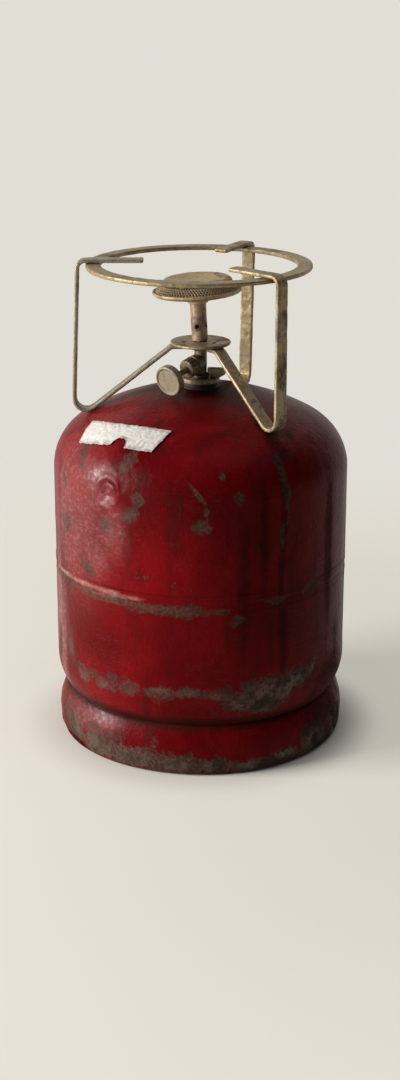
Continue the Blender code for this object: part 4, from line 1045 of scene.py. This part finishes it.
@dataclass
class Tape:
    """The torn strip of tape on the dome."""

    bottle: Bottle
    start: float = math.radians(-66.0)
    end: float = math.radians(-18.6)
    inner_start: float = 76.0 * MM
    inner_end: float = 68.0 * MM
    inner_dip: float = 3.6 * MM
    outer: float = 86.5 * MM
    notch: float = math.radians(-38.5)
    notch_half: float = math.radians(4.4)
    notch_depth: float = 6.6 * MM
    corner_drop: float = 4.6 * MM
    corner_share: float = 0.48
    slant_start: float = math.radians(8.6)
    slant_end: float = math.radians(5.4)
    lift: float = 0.3 * MM
    thickness: float = 0.3 * MM
    columns: int = 150
    rows: int = 34

    def _height(self, radius: float) -> float:
        """Height of the dome at a distance from the axis."""
        bottle = self.bottle
        middle = bottle.radius - bottle.knuckle
        drop = math.sqrt((bottle.top_crown - bottle.knuckle) ** 2 - middle ** 2)
        if radius < bottle.top_crown * middle / (bottle.top_crown - bottle.knuckle):
            return bottle.top_tangent - drop + math.sqrt(bottle.top_crown ** 2 - radius ** 2)
        run = min(radius - middle, bottle.knuckle)
        return bottle.top_tangent + math.sqrt(bottle.knuckle ** 2 - run ** 2)

    def build(self) -> None:
        """Build the strip."""
        verts, marks = [], []
        for column in range(self.columns + 1):
            along = column / self.columns
            for row in range(self.rows + 1):
                down = row / self.rows
                point, edge = self._point(along, down)
                verts.append(point)
                marks.append(edge)
        faces = []
        wide = self.rows + 1
        for column in range(self.columns):
            for row in range(self.rows):
                corner = column * wide + row
                faces.append((corner, corner + 1, corner + wide + 1, corner + wide))
        mesh = bpy.data.meshes.new("tape_skin")
        mesh.from_pydata(verts, [], faces)
        if sum(face.normal.z for face in mesh.polygons) < 0.0:
            mesh.flip_normals()
        layer = mesh.attributes.new("edge", "FLOAT", "POINT")
        layer.data.foreach_set("value", marks)
        item = bpy.data.objects.new("tape_skin", mesh)
        bpy.context.scene.collection.objects.link(item)
        wall = item.modifiers.new("sheet", "SOLIDIFY")
        wall.thickness = self.thickness
        wall.offset = 1.0
        item = evaluated(item)
        item.data.shade_smooth()
        dress(item, CreasedTape().build())
        place_on(item, Body.ROOT, Slot.TAPE, "tape_strip")

    def _point(self, along: float, down: float) -> tuple[Vector, float]:
        """A point of the strip and how near an edge it is.

        Args:
            along: Share of the strip's length.
            down: Share of its width, growing down the dome.

        Returns:
            The point, and 0 in the middle to 1 at an edge.
        """
        azimuth = self.start + (self.end - self.start) * along
        dip = self.inner_dip * 4.0 * along * (1.0 - along)
        inner = self.inner_start + (self.inner_end - self.inner_start) * along - dip
        near = min(1.0, abs(azimuth - self.notch) / self.notch_half)
        outer = self.outer - self.notch_depth * math.sqrt(1.0 - near ** 2)
        outer += self.corner_drop * max(0.0, 1.0 - along / self.corner_share)
        fray = noise.noise(Vector((along * 22.0, 3.1, 0.0))) * 0.7 + noise.noise(
            Vector((along * 70.0, 8.3, 0.0))) * 0.35
        outer += fray * MM
        inner += noise.noise(Vector((along * 20.0, 12.7, 0.0))) * 0.5 * MM
        radius = inner + (outer - inner) * down
        slant = self.slant_end if along > 0.5 else self.slant_start
        azimuth += slant * (0.5 - down) * (2.0 * along - 1.0)
        torn = noise.noise(Vector((down * 9.0, 5.0, 0.0))) * 0.010
        azimuth += torn * (2.0 * along - 1.0)
        level = Vector((math.sin(azimuth), -math.cos(azimuth), 0.0))
        point = level * radius
        point.z = self._height(radius)
        ridge = abs(noise.noise(Vector((along * 16.0, down * 5.0, 2.0))))
        crease = abs(noise.noise(Vector((along * 42.0 + down * 9.0, down * 12.0, 7.0))))
        out = Vector((point.x, point.y, point.z - self._height(0.0) + self.bottle.top_crown))
        edge = max(abs(2.0 * down - 1.0), abs(2.0 * along - 1.0) ** 6)
        lift = self.lift + ridge * 0.5 * MM + crease * 0.35 * MM + 0.25 * MM * max(0.0, edge - 0.9) * 10
        return point + out.normalized() * lift, edge


@dataclass
class Stand:
    """The pan ring, the three bent arms and the collar plate."""

    hole_circle: float = 11.5 * MM
    hole_angles: tuple[float, ...] = (-72.0, 52.0, 86.0, 178.0)
    hole_reach: float = 2.1 * MM

    def _hole_shade(self) -> tuple[StainAndShade, ...]:
        """Painted shade in the collar plate's holes."""
        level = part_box("collar_plate")[1].z - 0.6 * MM
        return tuple((self.hole_circle * math.sin(angle), -self.hole_circle * math.cos(angle),
                      level, self.hole_reach) for angle in map(math.radians, self.hole_angles))

    def build(self) -> None:
        """Dress the stand in tarnished, knocked strip."""
        grey = OldMetal("grey_strip", (0.46, 0.41, 0.32), (0.24, 0.195, 0.125),
                        (0.060, 0.042, 0.022), metallic=0.55, roughness=0.42, stain=0.65).build()
        golden = OldMetal("golden_strip", (0.51, 0.40, 0.225), (0.24, 0.178, 0.085),
                          (0.062, 0.038, 0.017), metallic=0.55, roughness=0.44, stain=0.6).build()
        # the brown strip's darkened places are painted shade in the collar plate's holes
        brown = OldMetal("brown_strip", (0.56, 0.43, 0.265), (0.25, 0.185, 0.095),
                         (0.048, 0.027, 0.012), metallic=0.5, roughness=0.48, stain=0.8,
                         stains_and_shade=self._hole_shade()).build()
        finishes = {"arm_left": grey, "arm_front": brown, "arm_back": golden,
                    "pan_ring": golden, "collar_plate": brown}
        for number, (node, strip) in enumerate(finishes.items()):
            wear = Wear(seed=3.0 + number * 5.0)
            if node == "collar_plate":
                wear = Wear(voxel=0.30 * MM, rounds=1, depth=0.10 * MM, seed=wear.seed)
            item = worn_copy(node, node + "_worn", wear)
            dress(item, strip)
            place_on(item, Body.ROOT, Slot.FRAME, node)


@dataclass
class Burner:
    """The mixing tube and the round burner with its wire band."""

    lean: float = math.radians(-3.2)
    offset: float = -0.4 * MM
    strands: int = 80
    wire: float = 0.43 * MM
    sweep: float = math.radians(9.0)
    foot_radius: float = 28.6 * MM
    top_radius: float = 23.6 * MM
    rim_height: float = 35.0 * MM
    band_low: float = 34.0 * MM
    band_high: float = 39.0 * MM
    tube_radius: float = 5.5 * MM
    air_holes: int = 4
    air_turn: float = math.radians(-15.0)
    air_height: float = 10.0 * MM
    air_reach: float = 2.9 * MM

    def _axis(self) -> Matrix:
        """Where the leaning burner stands."""
        origin = Vector((self.offset, 0.0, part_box("collar_plate")[1].z + 0.5 * MM))
        return Matrix.Translation(origin) @ Matrix.Rotation(self.lean, 4, "Y")

    def _rust(self) -> tuple[StainAndShade, ...]:
        """The rust round the tube's air holes."""
        turns = [self.air_turn + math.tau * i / self.air_holes for i in range(self.air_holes)]
        places = [self._axis() @ Vector((self.tube_radius * math.sin(turn),
                                         -self.tube_radius * math.cos(turn), self.air_height))
                  for turn in turns]
        return tuple((*place, self.air_reach) for place in places)

    def build(self) -> None:
        """Build the burner's pieces."""
        metal = OldMetal("burner_metal", (0.56, 0.43, 0.275), (0.40, 0.29, 0.165),
                         (0.060, 0.036, 0.018), metallic=0.5, roughness=0.5, stain=0.6,
                         edge_gleam=0.2).build()
        cap = OldMetal("burner_top", (0.77, 0.57, 0.33), (0.50, 0.36, 0.185), (0.105, 0.068, 0.034),
                       metallic=0.45, roughness=0.52, stain=0.9, edge_gleam=0.3).build()
        tube = OldMetal("tube_metal", (0.50, 0.38, 0.25), (0.27, 0.165, 0.095),
                        (0.085, 0.038, 0.020), metallic=0.45, roughness=0.46, stain=0.85,
                        stains_and_shade=self._rust()).build()
        finishes = {"burner_bowl": metal, "burner_cap": cap, "mixing_tube": tube}
        for number, (node, finish) in enumerate(finishes.items()):
            item = worn_copy(node, node + "_worn",
                             Wear(voxel=0.36 * MM, rounds=2, depth=0.10 * MM, seed=40.0 + number))
            dress(item, finish)
            place_on(item, Body.ROOT, Slot.BURNER, node)
        self._band()

    def _band(self) -> None:
        """The band of crossing wires between the bowl and the cap."""
        wire = OldMetal("wire_band", (0.86, 0.68, 0.42), (0.70, 0.53, 0.30),
                        (0.14, 0.09, 0.05), metallic=0.3, roughness=0.5, stain=0.2).build()
        tree = strand_tree(wire)
        meshes = []
        for side in (1.0, -1.0):
            part = tree.make("strands", {
                "Count": self.strands, "Foot Radius": self.foot_radius,
                "Top Radius": self.top_radius, "Foot Height": self.band_low,
                "Top Height": self.band_high, "Sweep": side * self.sweep, "Wire": self.wire})
            meshes.append(part)
        bm = bmesh.new()
        for part in meshes:
            bm.from_mesh(part.data)
            bpy.data.objects.remove(part, do_unlink=True)
        mesh = bpy.data.meshes.new("burner_band")
        bm.to_mesh(mesh)
        bm.free()
        mesh.transform(self._axis())
        band = bpy.data.objects.new("burner_band", mesh)
        bpy.context.scene.collection.objects.link(band)
        dress(band, wire)
        place_on(band, Body.ROOT, Slot.BURNER, "burner_mesh")


@dataclass
class Tap:
    """The tap, its gland, knob and the neck below it."""

    brass_nodes: tuple[str, ...] = ("valve_body", "gland_nut", "collar_nut")
    inner_brass: tuple[str, ...] = ("valve_insert", "spring_retainer", "jet")
    ball_travel: float = 0.8 * MM

    def build(self) -> None:
        """Dress the tap and everything in the neck."""
        brass = OldMetal("dark_brass", (0.34, 0.25, 0.15), (0.120, 0.080, 0.042),
                         (0.028, 0.017, 0.009), metallic=0.5, roughness=0.5, stain=0.7).build()
        pale = OldMetal("rubbed_brass", (0.42, 0.33, 0.22), (0.20, 0.15, 0.095),
                        (0.05, 0.035, 0.02), metallic=0.55, roughness=0.45, stain=0.5).build()
        for number, node in enumerate(self.brass_nodes):
            self._piece(node, brass, Body.ROOT, Slot.BRASS, 70.0 + number)
        self._piece("wing_nut", pale, Body.ROOT, Slot.BRASS, 80.0)
        knob = OldMetal("knob_metal", (0.355, 0.285, 0.198), (0.25, 0.198, 0.135),
                        (0.075, 0.052, 0.034), metallic=0.35, roughness=0.5, stain=0.3).build()
        self._piece("knob", knob, Body.KNOB, Slot.KNOB, 85.0)
        self._piece("needle_spindle", brass, Body.KNOB, Slot.BRASS, 88.0)
        neck = OldMetal("neck_steel", (0.055, 0.022, 0.017), (0.028, 0.012, 0.009),
                        (0.010, 0.006, 0.004), metallic=0.1, roughness=0.75, stain=0.7).build()
        self._piece("neck_boss", neck, Body.ROOT, Slot.WELD, 90.0)
        for node in self.inner_brass:
            dress(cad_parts[node], pale)
        steel = OldMetal("spring_steel", (0.5, 0.5, 0.5), (0.4, 0.4, 0.4), (0.2, 0.2, 0.2),
                         metallic=0.95, roughness=0.35, stain=0.1).build()
        dress(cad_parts["valve_ball"], steel)
        self._spring(steel)
        rubber = PlainDark().build()
        for node in ("neck_seal", "gland_packing"):
            dress(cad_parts[node], rubber)

    def _spring(self, steel: bpy.types.Material) -> None:
        """The valve spring, a fixed copy of the part, though the real one gets shorter as the ball is
        pushed down.
        """
        coil = bpy.data.objects.new("valve_spring_coil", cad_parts["valve_spring"].data.copy())
        bpy.context.scene.collection.objects.link(coil)
        dress(coil, steel)
        place_on(coil, Body.ROOT, Slot.SPRING, "valve_spring")
        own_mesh(coil)

    @staticmethod
    def _piece(node: str, material: bpy.types.Material, body: Body, slot: Slot,
               seed: float) -> None:
        """A worn copy of one small turned or cast part."""
        item = worn_copy(node, node + "_worn", Wear(voxel=0.24 * MM, rounds=2, depth=0.07 * MM,
                                                    scale=320.0, seed=seed))
        dress(item, material)
        place_on(item, body, slot, node)


@dataclass
class Studio:
    """A pale floor, a backdrop, soft lamps and the camera."""

    camera: Vector = field(default_factory=lambda: Vector((-0.0004, -1.2, 0.5412)))
    pitch: float = math.radians(71.26)
    lens: float = 60.33
    floor_colour: Colour = (0.60, 0.573, 0.51)
    lit_floor: Colour = (0.92, 0.892, 0.805)
    floor_glow: Colour = (0.93, 0.892, 0.795)
    wall_colour: Colour = (0.755, 0.728, 0.672)
    air_colour: Colour = (0.026, 0.0255, 0.025)

    def build(self) -> None:
        """Set up everything round the object."""
        scene = bpy.context.scene
        data = bpy.data.cameras.new("camera")
        data.lens = self.lens
        data.sensor_width = 36.0
        camera = bpy.data.objects.new("camera", data)
        camera.location = self.camera
        camera.rotation_euler = (self.pitch, 0.0, 0.0)
        scene.collection.objects.link(camera)
        scene.camera = camera
        scene.view_settings.view_transform = "Standard"
        self._sweep()
        self._world()
        self._lamp("key", (-1.62, -0.42, 0.62), (0.0, 0.0, 0.17), 0.8, 47.0, (1.0, 0.98, 0.95))
        self._lamp("top", (0.30, -0.15, 1.45), (0.0, 0.0, 0.2), 1.0, 2.8, (1.0, 0.985, 0.96))
        self._lamp("fill", (0.2, -1.9, 0.7), (0.0, 0.0, 0.2), 1.2, 0.2, (0.95, 0.97, 1.0))

    def _sweep(self) -> None:
        """A pale floor that sweeps up into a backdrop."""
        path = [(-3.0, 0.0), (1.2, 0.0)]
        path += [(1.2 + 0.8 * math.sin(a), 0.8 - 0.8 * math.cos(a))
                 for a in (math.pi / 2.0 * i / 12 for i in range(1, 13))]
        path.append((2.0, 4.0))
        verts = [(x, y, z) for y, z in path for x in (-4.0, 4.0)]
        faces = [(i, i + 1, i + 3, i + 2) for i in range(0, len(verts) - 2, 2)]
        mesh = bpy.data.meshes.new("floor")
        mesh.from_pydata(verts, [], faces)
        mesh.shade_smooth()
        floor = bpy.data.objects.new("floor", mesh)
        bpy.context.scene.collection.objects.link(floor)
        graph = Graph("floor")
        cloud = graph.noise(3.0, 3.0)
        seen = self._seen(graph)
        tone = graph.mix(seen, self.floor_colour, self.lit_floor)
        tone = graph.mix(cloud * 0.03, tone, (0.0, 0.0, 0.0))
        material = graph.finish(tone, 0.75, 0.0, None, 0.0)
        reach = graph.node("ShaderNodeVectorMath", {"operation": "LENGTH"}, (graph.place,), "Value")
        beside = reach.step(0.094, 0.135)
        away = reach.step(0.22, 0.70)
        shown = seen * (beside * 0.45 + away * 0.55)
        glow = graph.tree.nodes.new("ShaderNodeEmission")
        glow_colour = graph.mix(away, self.floor_glow, self.wall_colour)
        graph.tree.links.new(glow_colour.socket, glow.inputs["Color"])
        blend = graph.tree.nodes.new("ShaderNodeMixShader")
        graph.tree.links.new(shown.socket, blend.inputs[0])
        graph.tree.links.new(graph.shader.outputs[0], blend.inputs[1])
        graph.tree.links.new(glow.outputs[0], blend.inputs[2])
        graph.tree.links.new(blend.outputs[0], graph.tree.nodes["Material Output"].inputs[0])
        dress(floor, material)

    @staticmethod
    def _seen(graph: Graph) -> Wire:
        """1 for rays from the camera, in reflections and through clear things."""
        rays = [graph.node("ShaderNodeLightPath", None, (), "Is %s Ray" % kind)
                for kind in ("Camera", "Glossy", "Transmission")]
        return rays[0].most(rays[1]).most(rays[2])

    def _world(self) -> None:
        """Dim light from all round."""
        world = bpy.data.worlds.new("studio")
        bpy.context.scene.world = world
        world.use_nodes = True
        world.node_tree.nodes["Background"].inputs["Color"].default_value = (*self.air_colour, 1.0)

    @staticmethod
    def _lamp(name: str, place: Colour, target: Colour, size: float, power: float,
              colour: Colour) -> None:
        """Add a soft square lamp that looks at a point."""
        data = bpy.data.lights.new(name, "AREA")
        data.shape = "SQUARE"
        data.size = size
        data.energy = power
        data.color = colour
        lamp = bpy.data.objects.new(name, data)
        lamp.location = place
        aim = Vector(target) - Vector(place)
        lamp.rotation_euler = aim.to_track_quat("-Z", "Y").to_euler()
        bpy.context.scene.collection.objects.link(lamp)


def main() -> None:
    """Build the object's looks and its studio, and note the sizes."""
    logging.basicConfig(level=logging.INFO, format="%(message)s")
    bottle = Bottle()
    for assembly in (bottle, Tape(bottle), Stand(), Burner(), Tap()):
        LOG.info("building %s", type(assembly).__name__)
        assembly.build()
    Studio().build()


if __name__ == "__main__":
    main()
